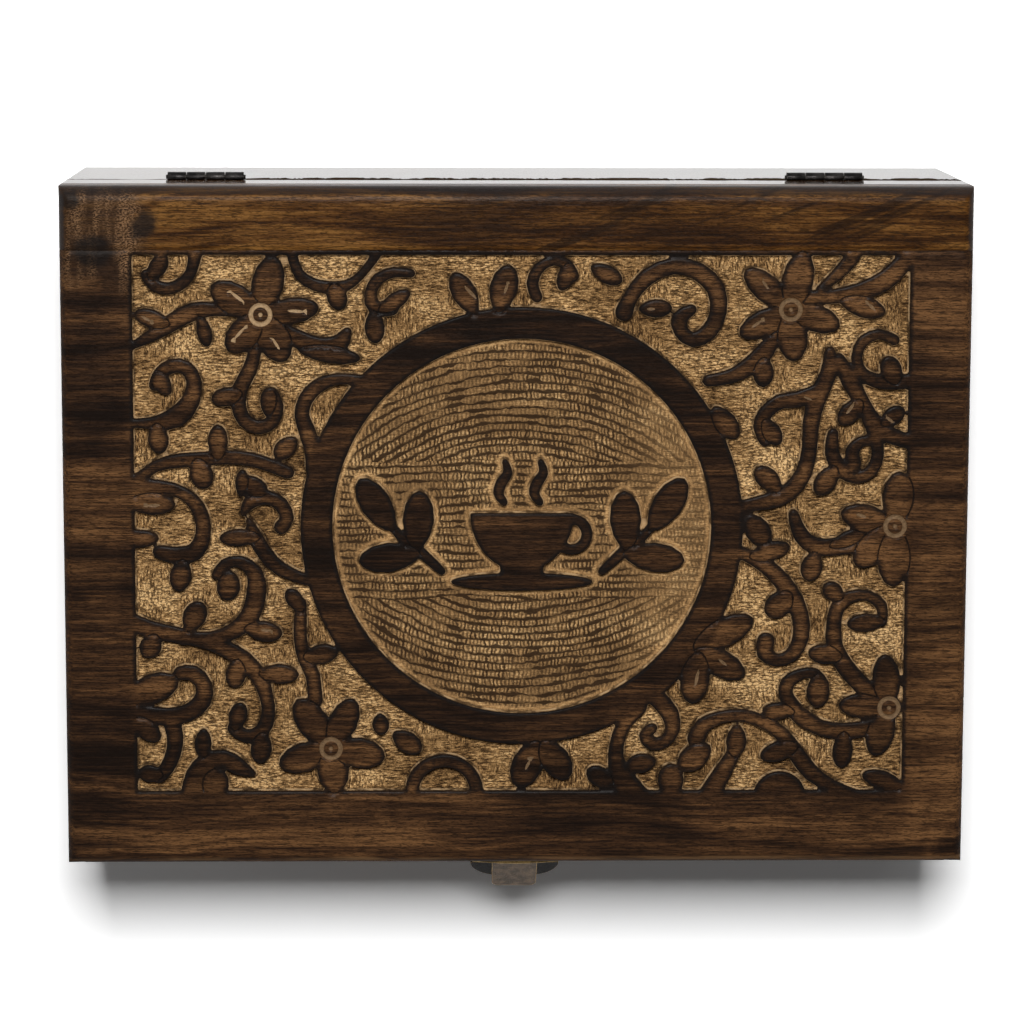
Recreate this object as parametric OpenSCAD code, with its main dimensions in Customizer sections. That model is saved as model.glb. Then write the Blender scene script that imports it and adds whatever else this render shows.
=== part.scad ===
// Tea bag organizer box: a low wooden box with six compartments, a carved
// overlay lid on two small butt hinges, and a swinging brass latch in front.
// Origin: centre of the base's footprint, on the surface it stands on.
// +Z is up, the latch is at -Y and the hinges are at +Y. Sizes in millimetres.

/* [Box] */
// Width over the front and back walls
box_w = 254; // [236:1:280]
// Depth over the side walls, front to back
box_d = 192; // [178:1:214]
// Height of the base walls
base_h = 56.8; // [52:0.1:72]
// Thickness of the walls and of the lid's rails
wall_t = 10; // [8.5:0.5:13]
// Depth of the corner rebate that a side wall's end sits in
corner_rebate = 5; // [3:0.5:6]
// Thickness of the bottom panel
bottom_t = 5; // [3:0.5:8]
// Width of the rebate that the bottom panel sits in
bottom_rebate = 4; // [2:0.5:5]
// Glue clearance round a seated piece
glue_gap = 0.05; // [0.03:0.01:0.15]

/* [Dividers] */
// Thickness of the dividers
divider_t = 5; // [3:0.5:8]
// Height of the dividers above the bottom panel
divider_h = 45; // [30:1:46]
// Depth of the grooves that hold the dividers' ends
groove_depth = 3; // [1.5:0.5:4]
// Clearance on each side of a divider in its groove or slot
divider_play = 0.1; // [0.05:0.01:0.3]

/* [Lid] */
// Gap between the base and the closed lid
seam_gap = 0.3; // [0.2:0.05:0.6]
// Height of the lid's rails
rail_h = 15.9; // [12:0.1:28]
// Thickness of the carved board
board_t = 12; // [9:0.5:16]
// Radius of the rounded top edge
edge_r = 3; // [1:0.5:5]
// Width of the plain strip glued along the back of the carved board
back_strip_w = 17.7; // [12:0.1:18.5]

/* [Carving] */
// Depth of the carved ground below the board's face
carve_depth = 2.4; // [1:0.1:4]
// Plain border left of the carving
border_left = 20; // [16:0.5:30]
// Plain border right of the carving
border_right = 17.5; // [14:0.5:30]
// Plain border in front of the carving
border_front = 21; // [16:0.5:30]
// Plain border behind the carving
border_back = 19; // [19:0.5:30]
// Outer diameter of the carved ring
ring_d = 124; // [100:1:126]
// Width of the ring's band
ring_band = 8.8; // [5:0.1:14]
// Narrowest gap between two raised parts that is carved out
gap_min = 0.7; // [0.4:0.1:1.2]
// Outer radius of the groove round a flower's eye
eye_r = 3.5; // [2.5:0.1:4.5]
// Width of that groove
eye_groove = 1.2; // [0.6:0.1:1.8]
// Depth of that groove
eye_depth = 0.8; // [0.3:0.1:1.5]

/* [Hinges] */
// Length of a hinge
hinge_l = 21.5; // [18:0.5:30]
// Distance of a hinge's middle from the side of the box
hinge_inset = 39.25; // [32:0.25:60]
// Radius of the knuckles
knuckle_r = 1.4; // [1.2:0.1:2]
// Number of knuckles in a hinge
knuckle_n = 4; // [4:2:6]
// Gap between two knuckles
knuckle_gap = 0.2; // [0.1:0.05:0.4]
// How far the hinge line stands behind the back face
hinge_out = 0.8; // [0.6:0.1:1.2]
// Thickness of a leaf
leaf_t = 0.7; // [0.5:0.1:1]
// How far a leaf reaches into the wall
leaf_in = 7; // [6:0.5:8]
// Radius of the hinge pin
hinge_pin_r = 0.6; // [0.4:0.05:0.8]
// How far a hinge pin stands out at each end
pin_proud = 0.5; // [0.1:0.1:1]
// Radial clearance of a pin in its knuckles
pin_play = 0.05; // [0.03:0.01:0.08]
// Clearance round the knuckles in the wood
knuckle_clear = 0.2; // [0.15:0.05:0.5]
// Radius of a hinge screw
screw_r = 0.8; // [0.5:0.1:1]
// Length of a hinge screw
screw_l = 8; // [5:0.5:10]
// Radius of a hinge screw's head
screw_head_r = 1.6; // [1.2:0.1:1.8]
// Height of the head's cone
screw_head_h = 0.5; // [0.3:0.05:0.6]
// Distance between the two screws of a leaf
screw_spacing = 12; // [9:0.5:15]
// Clearance round a screw or nail
screw_play = 0.05; // [0.03:0.01:0.1]
// Height of the straight rim of a screw's head
screw_rim = 0.1; // [0.05:0.01:0.15]

/* [Latch] */
// Width of the latch's plate
latch_w = 25; // [21:0.5:32]
// Thickness of the plate
latch_t = 1; // [0.8:0.1:1.4]
// How far the plate is bowed out in its middle
latch_bow = 0.7; // [0.3:0.1:1]
// Distance of the plate's upper edge below the lid's face
latch_drop = 6.5; // [5:0.5:8]
// Height of the plate from its upper edge to the pivot
latch_plate_h = 12.1; // [10:0.1:13.5]
// Distance of the pivot in front of the box
latch_out = 2.2; // [2.2:0.1:3]
// Radius of the latch's knuckles
latch_knuckle_r = 1.5; // [1.3:0.1:1.5]
// Radius of the latch's pin
latch_pin_r = 0.6; // [0.4:0.05:0.8]
// Width of the raised tongue
tongue_w = 12.9; // [10:0.1:15]
// Thickness of the tongue
tongue_t = 1.2; // [0.8:0.1:1.3]
// Reach of the tongue from the pivot
tongue_l = 16.4; // [15.5:0.1:18]
// Radius of the tongue's end corners
tongue_r = 2.2; // [1:0.1:4]
// Span of the thin wings beside the tongue
wing_span = 25.5; // [22:0.5:32]
// Thickness of the wings
wing_t = 0.7; // [0.5:0.1:0.8]
// Reach of the wings from the pivot
wing_l = 10.6; // [8:0.1:12]
// Radius about the pivot of the toe's upper side
toe_in = 15.2; // [14.5:0.1:15.2]
// How far the toe reaches back past the pivot
toe_back = 1.1; // [0.7:0.1:1.1]
// How far the flap is swung out from hanging, as it is shown
flap_swing = 39; // [0:1:60]
// Width of the catch on the base
catch_w = 17; // [15:0.5:24]
// Thickness of the catch's plate
catch_t = 0.8; // [0.5:0.1:0.8]
// How far the catch's ledge stands out from the box
ledge_out = 2.6; // [2:0.1:2.6]
// Thickness of the ledge
ledge_t = 1.5; // [1:0.1:2]
// Height of the catch's plate above its ledge
catch_above = 2.3; // [1.5:0.1:3]
// Radius of a latch nail's head
nail_head_r = 1.1; // [0.9:0.1:1.3]
// Radius of a latch nail
nail_r = 0.6; // [0.4:0.05:0.7]
// Length of a latch nail
nail_l = 7; // [5:0.5:8]
// Height of a latch nail's head
nail_head_h = 0.5; // [0.3:0.1:0.8]
// Metal left between a nail's head and the edge of its plate
nail_edge = 0.6; // [0.4:0.1:1]

/* [Hidden] */
$fn = 48;

// Overshoot of a cut past the face it opens
cut = 1;

front_y = -box_d / 2;
back_y = box_d / 2;
inner_w = box_w - 2 * wall_t;
inner_d = box_d - 2 * wall_t;
lid_z = base_h + seam_gap;
board_z = lid_z + rail_h;
face_z = board_z + board_t;
strip_y = back_y - back_strip_w;

// The three columns and two rows of compartments
cell_w = (inner_w - 2 * divider_t) / 3;
cross_x = (cell_w + divider_t) / 2;

hinge_x = box_w / 2 - hinge_inset;
hinge_y = back_y + hinge_out;
hinge_z = base_h + seam_gap / 2;
knuckle_l = (hinge_l - (knuckle_n - 1) * knuckle_gap) / knuckle_n;
leaf_y = back_y - leaf_in;
// The screws stand midway between a leaf's inner edge and its knuckles
leaf_mid_y = (leaf_y + hinge_y - knuckle_r - knuckle_clear) / 2;

pivot_y = front_y - latch_out;
pivot_z = face_z - latch_drop - latch_plate_h;
// Air between the flap and what it swings past
latch_clear = 0.3;
// Inner face of the flap, in front of the pivot
flap_inner = ledge_out - latch_out + latch_clear;
side_knuckle_x = tongue_w / 2 + knuckle_gap;
ledge_z = pivot_z - toe_in + latch_clear;
catch_top = ledge_z + ledge_t + catch_above;
catch_bottom = pivot_z - tongue_l - latch_clear - 2 * (nail_head_r + nail_edge);
catch_nail_x = catch_w / 2 - nail_head_r - nail_edge;
catch_nail_z = catch_bottom + nail_head_r + nail_edge;
// The plate's nails stand just above its knuckles, and go into the rail
plate_nail_x = latch_w / 2 - nail_head_r - nail_edge;
plate_nail_z = pivot_z + latch_knuckle_r + nail_head_r + nail_edge;

wood_dark = [0.26, 0.17, 0.11];
wood_mid = [0.36, 0.23, 0.13];
wood_raw = [0.62, 0.47, 0.31];
bronze = [0.17, 0.13, 0.10];
brass = [0.62, 0.49, 0.27];
steel = [0.55, 0.52, 0.47];

// ---------------------------------------------------------------- base

// Space of the bottom panel, grown by a clearance
module bottom_space(grow) {
    w = inner_w + 2 * bottom_rebate + 2 * grow;
    d = inner_d + 2 * bottom_rebate + 2 * grow;
    translate([-w / 2, -d / 2, -cut])
        cube([w, d, cut + bottom_t]);
}

// Space of one side wall or rail, side -1 is left and 1 is right
module side_space(side, z, h, grow) {
    len = box_d - 2 * (wall_t - corner_rebate) + 2 * grow;
    x = side < 0 ? -box_w / 2 - cut : box_w / 2 - wall_t - grow;
    translate([x, -len / 2, z])
        cube([wall_t + grow + cut, len, h]);
}

// A front or back wall or rail over the full width, rebated at both ends
module long_wall(side, z, h) {
    y = side < 0 ? front_y : back_y - wall_t;
    difference() {
        translate([-box_w / 2, y, z])
            cube([box_w, wall_t, h]);
        for (end = [-1, 1])
            side_space(end, z - cut, h + 2 * cut, glue_gap);
    }
}

// A side wall or rail that fits between the rebates
module side_wall(side, z, h) {
    len = box_d - 2 * (wall_t - corner_rebate);
    x = side < 0 ? -box_w / 2 : box_w / 2 - wall_t;
    translate([x, -len / 2, z])
        cube([wall_t, len, h]);
}

// Grooves for the ends of the dividers, open at the walls' upper edge
module divider_grooves() {
    width = divider_t + 2 * divider_play;
    long = inner_w + 2 * groove_depth;
    deep = inner_d + 2 * groove_depth;
    translate([-long / 2, -width / 2, bottom_t])
        cube([long, width, base_h]);
    for (x = [-cross_x, cross_x])
        translate([x - width / 2, -deep / 2, bottom_t])
            cube([width, deep, base_h]);
}

module base_wall_cuts() {
    bottom_space(glue_gap);
    divider_grooves();
}

module base_front_wall() {
    color(wood_dark)
        difference() {
            long_wall(-1, 0, base_h);
            base_wall_cuts();
            catch_nail_holes();
        }
}

module base_back_wall() {
    color(wood_dark)
        difference() {
            long_wall(1, 0, base_h);
            base_wall_cuts();
            for (x = [-hinge_x, hinge_x])
                translate([x, 0, 0])
                    hinge_mortise(base_h - leaf_t);
            base_screw_places()
                screw_hole();
        }
}

module base_left_wall() {
    color(wood_dark)
        difference() {
            side_wall(-1, 0, base_h);
            base_wall_cuts();
        }
}

module base_right_wall() {
    color(wood_dark)
        difference() {
            side_wall(1, 0, base_h);
            base_wall_cuts();
        }
}

module base_bottom() {
    color(wood_raw)
        intersection() {
            bottom_space(0);
            translate([-box_w / 2, front_y, 0])
                cube([box_w, box_d, bottom_t]);
        }
}

// ------------------------------------------------------------ dividers

// Half-height slots where the dividers cross
module crossing_slots(along_x) {
    half = divider_h / 2;
    size = divider_t + 2 * divider_play;
    z = along_x ? bottom_t + half : bottom_t - cut;
    for (x = [-cross_x, cross_x])
        translate([x - size / 2, -size / 2, z])
            cube([size, size, half + cut]);
}

module divider_long() {
    long = inner_w + 2 * groove_depth - 2 * divider_play;
    color(wood_raw)
        difference() {
            translate([-long / 2, -divider_t / 2, bottom_t])
                cube([long, divider_t, divider_h]);
            crossing_slots(true);
        }
}

module divider_cross(x) {
    deep = inner_d + 2 * groove_depth - 2 * divider_play;
    color(wood_raw)
        difference() {
            translate([x - divider_t / 2, -deep / 2, bottom_t])
                cube([divider_t, deep, divider_h]);
            crossing_slots(false);
        }
}

module divider_cross_left() { divider_cross(-cross_x); }
module divider_cross_right() { divider_cross(cross_x); }

// ----------------------------------------------------------- lid frame

module lid_front_rail() {
    color(wood_dark)
        difference() {
            long_wall(-1, lid_z, rail_h);
            plate_nail_holes();
        }
}

module lid_back_rail() {
    color(wood_mid)
        difference() {
            long_wall(1, lid_z, rail_h);
            for (x = [-hinge_x, hinge_x])
                translate([x, 0, 0])
                    hinge_mortise(lid_z - cut);
            lid_screw_places()
                screw_hole();
        }
}

module lid_left_rail() { color(wood_dark) side_wall(-1, lid_z, rail_h); }
module lid_right_rail() { color(wood_dark) side_wall(1, lid_z, rail_h); }

// -------------------------------------------------------- carved board

// A board's section with its two upper corners rounded
module board_section(w) {
    translate([-w / 2, 0])
        square([w, board_t - edge_r]);
    translate([-w / 2 + edge_r, 0])
        square([w - 2 * edge_r, board_t]);
    for (x = [-w / 2 + edge_r, w / 2 - edge_r])
        translate([x, board_t - edge_r])
            circle(r = edge_r);
}

// The glued-up board, its rounded edges mitred at the corners
module board_blank() {
    translate([0, 0, board_z])
        intersection() {
            translate([0, box_d / 2, 0])
                rotate([90, 0, 0])
                    linear_extrude(box_d)
                        board_section(box_w);
            translate([-box_w / 2, 0, 0])
                rotate([90, 0, 90])
                    linear_extrude(box_w)
                        board_section(box_d);
        }
}

// The length of board between two depths
module board_piece(y0, y1) {
    intersection() {
        board_blank();
        translate([-box_w, y0, board_z - cut])
            cube([2 * box_w, y1 - y0, board_t + 2 * cut]);
    }
}

// The carved ground is the pocket inside the borders. The pattern below is
// drawn for a pocket of pattern_size about pattern_mid, measured from the
// lid's centre, and its places follow the pocket's real size.
pattern_size = [216.5, 152];
pattern_mid = [1.25, 1];
pocket_size = [box_w - border_left - border_right, box_d - border_front - border_back];
pocket_mid = [(border_left - border_right) / 2, (border_front - border_back) / 2];

// A place or a [x, y, width] of the pattern, moved to the real pocket
function at(p) = [
    for (i = [0:len(p) - 1])
        i < 2 ? pocket_mid[i] + (p[i] - pattern_mid[i]) * pocket_size[i] / pattern_size[i] : p[i]
];

// Places of the pattern along a smooth curve through hand-set points
function curve(a, b, c, d, t) =
    0.5 * (2 * b + (c - a) * t + (2 * a - 5 * b + 4 * c - d) * t * t
           + (3 * b - 3 * c + d - a) * t * t * t);
function slope(a, b, c, d, t) =
    0.5 * ((c - a) + (2 * a - 5 * b + 4 * c - d) * 2 * t
           + (3 * b - 3 * c + d - a) * 3 * t * t);
function side_of(p, v, s) =
    [p.x, p.y] + s * p.z / 2 * [-v.y, v.x] / norm([v.x, v.y]);

// One stretch of a vine, between two of its points
module vine_span(a, b, c, d, steps) {
    left = [for (k = [0:steps])
        side_of(curve(a, b, c, d, k / steps), slope(a, b, c, d, k / steps), 1)];
    right = [for (k = [steps:-1:0])
        side_of(curve(a, b, c, d, k / steps), slope(a, b, c, d, k / steps), -1)];
    polygon(concat(left, right));
}

// A vine through points of [x, y, width], round at both ends
module vine(points, steps = 2) {
    p = [for (q = points) at(q)];
    last = len(p) - 1;
    for (i = [0:last - 1])
        vine_span(p[max(i - 1, 0)], p[i], p[i + 1], p[min(i + 2, last)], steps);
    for (q = [p[0], p[last]])
        translate([q.x, q.y])
            circle(r = q.z / 2, $fn = 10);
}

// A leaf or petal from its root to its tip, fullest past its middle
module leaf(root, tip, w) {
    a = at(root);
    v = at(tip) - a;
    n = 6;
    t = [for (i = [0:n]) (1 - cos(180 * i / n)) / 2];
    half = [for (q = t) w / 2 * sqrt(max(sin(180 * pow(q, 1.12)), 0)) / norm(v)];
    up = [for (i = [0:n]) a + v * t[i] + [-v.y, v.x] * half[i]];
    down = [for (i = [n - 1:-1:1]) a + v * t[i] - [-v.y, v.x] * half[i]];
    polygon(concat(up, down));
}

// Vines: every point is [x, y, width]
vines = [
    // back left corner, round the first flower
    [[-89.3, 77, 3.6], [-90.3, 72.5, 3], [-92.6, 69.3, 3.2], [-96.8, 67.5, 3.4],
        [-101, 68.7, 3.4], [-103, 71.5, 2.8]],
    [[-76, 60.8, 2.5], [-84, 61.8, 3.6], [-90, 61.2, 5], [-96, 58, 4.8],
        [-101, 54.8, 3.6], [-108, 51, 1.6]],
    [[-72.5, 57, 2.6], [-73, 50, 3.4], [-74.6, 44.5, 4], [-77, 40, 4.2], [-77.6, 35, 4],
        [-76, 30.7, 4], [-72, 28.7, 4], [-68, 30.5, 3.6], [-66.4, 35, 2.6], [-68, 39, 2.2]],
    [[-108, 30, 2.2], [-101, 30, 3.6], [-95, 31.6, 6], [-91, 36, 5], [-89.9, 41.5, 4.2],
        [-92, 45.4, 4], [-96, 46, 4], [-99.5, 43.7, 3.6], [-101, 40.5, 3]],
    [[-62.5, 77, 2.6], [-60.5, 71.5, 3], [-56, 68.6, 3.4], [-50, 67.8, 3.6],
        [-45.5, 69.5, 2.6], [-42, 73, 2.2], [-39, 77, 2.4]],
    [[-66, 57, 3], [-60.5, 53.3, 5], [-55, 51, 6], [-50, 51.6, 6], [-47.3, 55.5, 2.6]],
    [[-44, 42, 3], [-50, 42.4, 3.2], [-55.5, 40.4, 4], [-59, 36.5, 4], [-60, 32, 4],
        [-58.5, 27.5, 4.6], [-57, 22, 4.4], [-57, 17, 4]],
    // along the back
    [[-29.5, 71.8, 2.4], [-34, 72.2, 2.8], [-38.5, 70.4, 3.2], [-40.8, 66, 3.4],
        [-39.5, 62.2, 4], [-35, 62.2, 4.4]],
    [[5.5, 65.2, 3], [4.2, 69, 3.2], [6, 73.4, 3], [10, 75.4, 2.6], [14, 74.2, 3],
        [15.6, 71, 3]],
    [[29.8, 61, 5], [31.4, 65, 4], [36, 70.8, 4.6], [43.5, 74, 4.6], [50.5, 72.3, 5],
        [55.3, 67.5, 5], [56, 61, 4.6], [53.5, 55.6, 4.6], [49, 53.3, 4.2],
        [45.7, 55.8, 4], [45.3, 59.5, 4.6], [48.5, 61.8, 3]],
    // back right corner, round the second flower
    [[80, 65, 4], [88, 65.5, 4], [96, 67, 5], [102.5, 70, 5.6], [107, 74.5, 5], [111, 79, 4]],
    [[84, 67.5, 1.6], [88.5, 71, 3.4], [92.5, 75.5, 4], [94.5, 79, 4]],
    [[105.3, 53.3, 3], [101, 55, 2.8], [96.5, 53, 3.2], [94.8, 48.5, 3], [96.3, 44, 3.4],
        [100.5, 41.8, 4], [106, 41.4, 4], [111, 42, 4]],
    [[72.5, 55.5, 2.6], [69.5, 50.5, 5], [65, 46, 5], [59.5, 43, 4], [53.5, 41.9, 3.4]],
    [[87.3, 50, 3], [87, 44, 4.6], [84, 37, 5], [82.3, 30, 4.6], [82, 23, 4.2],
        [80.5, 16, 4.6], [76.5, 10.5, 5], [70.5, 7.8, 4.6], [62, 6.3, 3]],
    [[84, 39, 4], [78.5, 36.6, 4.6], [73.5, 36, 4.2], [69.3, 32.6, 4], [68, 28.5, 3.6],
        [69.5, 24.8, 3]],
    [[90, 48, 3], [93, 42, 5], [96.5, 36, 4], [100, 30, 4.6], [104.5, 26.5, 4.6],
        [111, 24.5, 4]],
    [[88.5, 27, 3], [88.3, 21.5, 4], [91, 16.6, 4], [95.5, 14.5, 3.6], [99.5, 16.5, 3.6],
        [101.2, 21, 3.4], [100.3, 26.5, 3.6], [98, 31, 3]],
    [[94.5, 18.5, 4.2], [94, 22, 4], [96.5, 24.8, 3], [100, 25, 3]],
    // right side, round the third flower
    [[61, -6, 3], [67, -8.5, 4], [72.5, -12.5, 4.6], [77, -18, 5], [80, -24.5, 4.8],
        [80.3, -31, 4.6], [77.8, -36, 4], [73.5, -37.6, 3.6], [70.2, -35.5, 4.6],
        [70.4, -32, 5]],
    [[77.8, 4.2, 2.8], [79, 0, 4], [81.8, -3.8, 4.6], [86.5, -5.3, 5], [92, -4.8, 5],
        [98, -4.5, 4.4]],
    [[103.3, -26.5, 2.6], [103, -22, 3.2], [99, -19, 3], [94, -19.4, 3.6],
        [90.5, -22.5, 4], [89.5, -28, 4.2], [90, -34, 4.6], [93, -39.5, 5],
        [97, -44, 5], [102, -49, 5]],
    // front right corner, round the fourth flower
    [[51, -60, 5], [53, -56.3, 4.6], [58, -53.9, 3.6], [64, -53.4, 3.6],
        [70, -55.3, 3.8], [75.5, -59, 4], [79.5, -64.5, 4.6], [84, -70.3, 4.6],
        [90, -74, 3.6], [98, -77, 3]],
    [[63, -61, 4], [61, -65.5, 4], [58.5, -70, 5], [54.5, -77, 6]],
    [[76.5, -50.5, 2.6], [80.5, -53.6, 5], [86, -57, 4.6], [92, -58, 4.8],
        [98, -57.5, 4.6], [103.4, -56.6, 4]],
    [[79, -52, 4.6], [76.2, -47.5, 4], [77, -43.6, 4], [80.5, -41.5, 3],
        [84.5, -41.3, 3], [87.2, -44.5, 2.6]],
    [[40, -48.5, 5], [43.5, -52.8, 5], [44.3, -57.5, 4], [42, -61, 3.6],
        [38.5, -61.5, 4], [36.5, -59, 3.6], [38.5, -57, 3]],
    [[35, -51, 4], [30.5, -56, 4], [28.5, -62, 4], [28.6, -68, 4.8], [31, -73, 7],
        [36, -78, 6]],
    // front left corner, round the fifth flower
    [[-109, -26, 5], [-103, -28.5, 5], [-96, -30, 4.6], [-89, -31.6, 4],
        [-83, -33.6, 4.6], [-77, -37, 5], [-72.6, -42, 4.6], [-70.4, -48, 3.8],
        [-70, -53, 3.8], [-71.8, -57.8, 4.2], [-76, -59.3, 4], [-79.8, -57, 3.6]],
    [[-94, -31, 4], [-86, -31, 3.6], [-79.5, -29, 4.6], [-74.8, -24.5, 5.4],
        [-73, -18, 5.4], [-73.5, -12.5, 4.6], [-77.5, -9.2, 3.4], [-82, -10, 3],
        [-84.2, -13, 2.6]],
    [[-94.5, -41, 4], [-91, -41, 4.6], [-88, -44.5, 4.6], [-88.5, -49, 5],
        [-92.5, -52.4, 5], [-98, -53.5, 5], [-104, -53, 5], [-110, -52.5, 5]],
    [[-97.5, -54, 5], [-96.3, -59, 4.6], [-96.8, -64, 4.2], [-98.8, -68.5, 4],
        [-101, -71, 3.6]],
    [[-92, -77, 6], [-91, -70.6, 5], [-87.5, -66.6, 5], [-82.5, -65.6, 5],
        [-78.5, -68, 5], [-74.5, -70, 2]],
    [[-60.5, -21, 3], [-60.8, -27, 3.6], [-60.7, -32, 3.6], [-59.5, -37, 4],
        [-57.3, -42, 4], [-56.7, -49, 4]],
    // left side
    [[-108, 12.5, 2.6], [-101, 17.8, 3.2], [-94, 19.4, 4], [-86, 20, 3.8],
        [-78, 20.3, 4], [-71, 18.8, 3.8], [-64, 16, 3.6]],
    [[-110, 11.5, 5], [-103, 12, 4.6], [-96, 11.3, 3.6], [-91, 8.5, 3.8],
        [-88.3, 4, 4.2], [-87.8, -1.5, 4.2], [-90, -6.3, 5], [-95, -7.5, 5],
        [-100, -6.5, 4]],
    [[-75, 2.5, 1.6], [-73.3, -2, 4], [-70.5, -7, 4.2], [-66.3, -11.3, 4],
        [-59, -14.5, 3]],
    [[-76.5, 4.5, 1.8], [-74.5, 7.8, 4], [-70, 9, 4], [-65.9, 7, 4], [-64.3, 3, 3.8],
        [-66, 0.5, 4]]
];

// Leaves and buds: root, tip, width
leaves = [
    [[-102, 70], [-97.4, 77], 5], [[-96.5, 57.5], [-106.4, 60.8], 5.2],
    [[-88, 60], [-86, 51.3], 4.2], [[-76.5, 38.5], [-85.2, 36.3], 5.4],
    [[-69.6, 31.8], [-69, 40.2], 4.6], [[-96.8, 37.8], [-101, 44.4], 5],
    [[-100.5, 30], [-99.6, 21.2], 5.8], [[-83.5, 19.5], [-83.4, 29.6], 5.6],
    [[-51.4, 69], [-48.8, 61.6], 5.6], [[-61, 50.5], [-43.4, 48], 5],
    [[-61.5, 25.8], [-67.5, 20.2], 5.6],
    [[-38.5, 61], [-29.8, 67], 4.6], [[-40, 61.5], [-39.3, 52.2], 5.6],
    [[-11.5, 60.5], [-17.8, 72], 6.8], [[-5.5, 61], [-2, 74.3], 7.8],
    [[12, 67], [15.2, 74.6], 5], [[20.4, 74], [29.2, 69.4], 5.2],
    [[33.8, 62], [43.2, 62.2], 5.2], [[90, 64.4], [102.7, 60.8], 6],
    [[106.2, 40.8], [103, 48.8], 6], [[69, 48.5], [68.7, 40], 5.8],
    [[69, 31], [73.6, 23.8], 5.2], [[54.8, 34.6], [61.8, 25.6], 6.2],
    [[96.5, 36.4], [90.2, 29.6], 5.8], [[102, 29.4], [108.3, 34.2], 5.2],
    [[89.5, 17.8], [84.2, 9.6], 6.2], [[74, 10.8], [66.9, 17.4], 6],
    [[64.8, 4], [70.6, -4.8], 7], [[65.5, -8], [77, -4.8], 5.4],
    [[77.2, -18], [70.8, -25], 7.2], [[88, -5], [98, -0.6], 4.4],
    [[84, -6.5], [82.2, -15], 6.2], [[91.8, -20], [86.6, -15.8], 5.4],
    [[104, -26.4], [93.2, -27.2], 5.4], [[92, -36.6], [82.4, -35.2], 5.8],
    [[50, -34], [66.8, -25.4], 8.4], [[50.5, -34.5], [64.6, -42.2], 7.8],
    [[51.5, -35], [49.6, -50.2], 8.4], [[62.6, -56], [62.2, -65.4], 5.8],
    [[80, -61.8], [69.2, -65.6], 5.8], [[93, -58], [92.2, -68.8], 5.8],
    [[85.6, -41.2], [85.2, -51.4], 6.6], [[78.8, -52.4], [69.6, -52], 5],
    [[110, -74], [98.2, -70.4], 5.4], [[39.8, -66.4], [31.2, -68], 5.8],
    [[27.4, -73.6], [20.2, -68.8], 5.8], [[44, -77.5], [43.8, -67.2], 7.4],
    [[55, -62], [46.2, -68.8], 7.4],
    [[-38.5, -52.6], [-38, -59], 4.8], [[-34.8, -58.2], [-26.8, -63.8], 6.2],
    [[6.2, -60.5], [0.4, -74.2], 8.8], [[7.4, -60.5], [14.8, -71.8], 8.2],
    [[-79.6, -57.5], [-77.4, -49.4], 5.2], [[-71.4, -58], [-72.6, -67.2], 6],
    [[-80, -11.8], [-81.6, -20.4], 6.6], [[-76.5, -28.2], [-65.8, -30], 6],
    [[-101, -30], [-104.6, -36.6], 6.2], [[-92.6, -29], [-88.4, -20.6], 6.6],
    [[-110, -48.4], [-95.2, -42.8], 8.6], [[-99.8, -70.4], [-106.8, -69.6], 5.2],
    [[-108, -54], [-100.6, -60.4], 5.8], [[-86, -78], [-84, -68.4], 7.4],
    [[-88.2, -56.8], [-88.6, -65.4], 4.8], [[-60, -23.4], [-64.4, -17], 4.8],
    [[-60, -36.6], [-50.2, -34.8], 5.8], [[-72.5, -41], [-61.2, -41.6], 5.8],
    [[-78.4, -37], [-79.6, -45.4], 5.8],
    [[-89.6, 20], [-86.8, 11.4], 6.6], [[-109, 7.4], [-95.4, 7], 6.4],
    [[-93.4, -8.5], [-95, -17.8], 6.2], [[-112, -2.8], [-100.2, -2.6], 5.2],
    [[-71.8, -2.2], [-83.4, -2.6], 5], [[-78, 14.2], [-69.8, 10.4], 5.4],
    [[-77.2, 9], [-76.6, 17], 3.6]
];

// Flowers: eye, then the petals as [tip x, tip y, width]
flowers = [
    [[-71.3, 60.3], [[-67.4, 76.8, 9], [-85, 68.6, 8.8], [-55, 62.4, 7.4],
        [-64.4, 47.2, 9.2], [-80.4, 50, 8.6]]],
    [[76.2, 61.8], [[63.3, 73, 7.6], [79.8, 78, 8.8], [62, 54.6, 7.6],
        [77.4, 47.2, 8.6], [90, 57, 7.6]]],
    [[106.3, 0.8], [[91, 4.8, 8], [107.6, 16.4, 8.8], [95.4, -10.6, 8.6],
        [106, -16.6, 9.2]]],
    [[105.5, -51.2], [[104, -35.8, 8], [91.2, -50.4, 7.2], [101.4, -65.2, 8]]],
    [[-52.3, -62.7], [[-62, -48.6, 9], [-45.8, -48.4, 8.2], [-67, -67.8, 8.6],
        [-51.2, -75.6, 9], [-37, -65.4, 9]]]
];

ring_mid = at([1.5, 0.5]);

module flower(eye, petals) {
    for (p = petals)
        leaf(eye, [p.x, p.y], p.z);
    translate(at(eye))
        circle(r = eye_r, $fn = 24);
}

// Two arches that spring from the front border, and a half disc
module front_arches() {
    difference() {
        translate(at([-20.3, -75.5]))
            circle(r = 11, $fn = 40);
        translate(at([-20.3, -75.5]))
            circle(r = 7.3, $fn = 32);
    }
    translate(at([74.8, -77]))
        circle(r = 7.4, $fn = 32);
}

// A cup on its saucer, with two curls of steam
cup_w = 29;
cup_h = 16.5;
cup_top = 4;
cup_foot_w = 12;
cup_foot_h = 3;
handle_r = 5.8;
handle_drop = 6;
saucer_w = 40;
saucer_h = 5;

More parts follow.
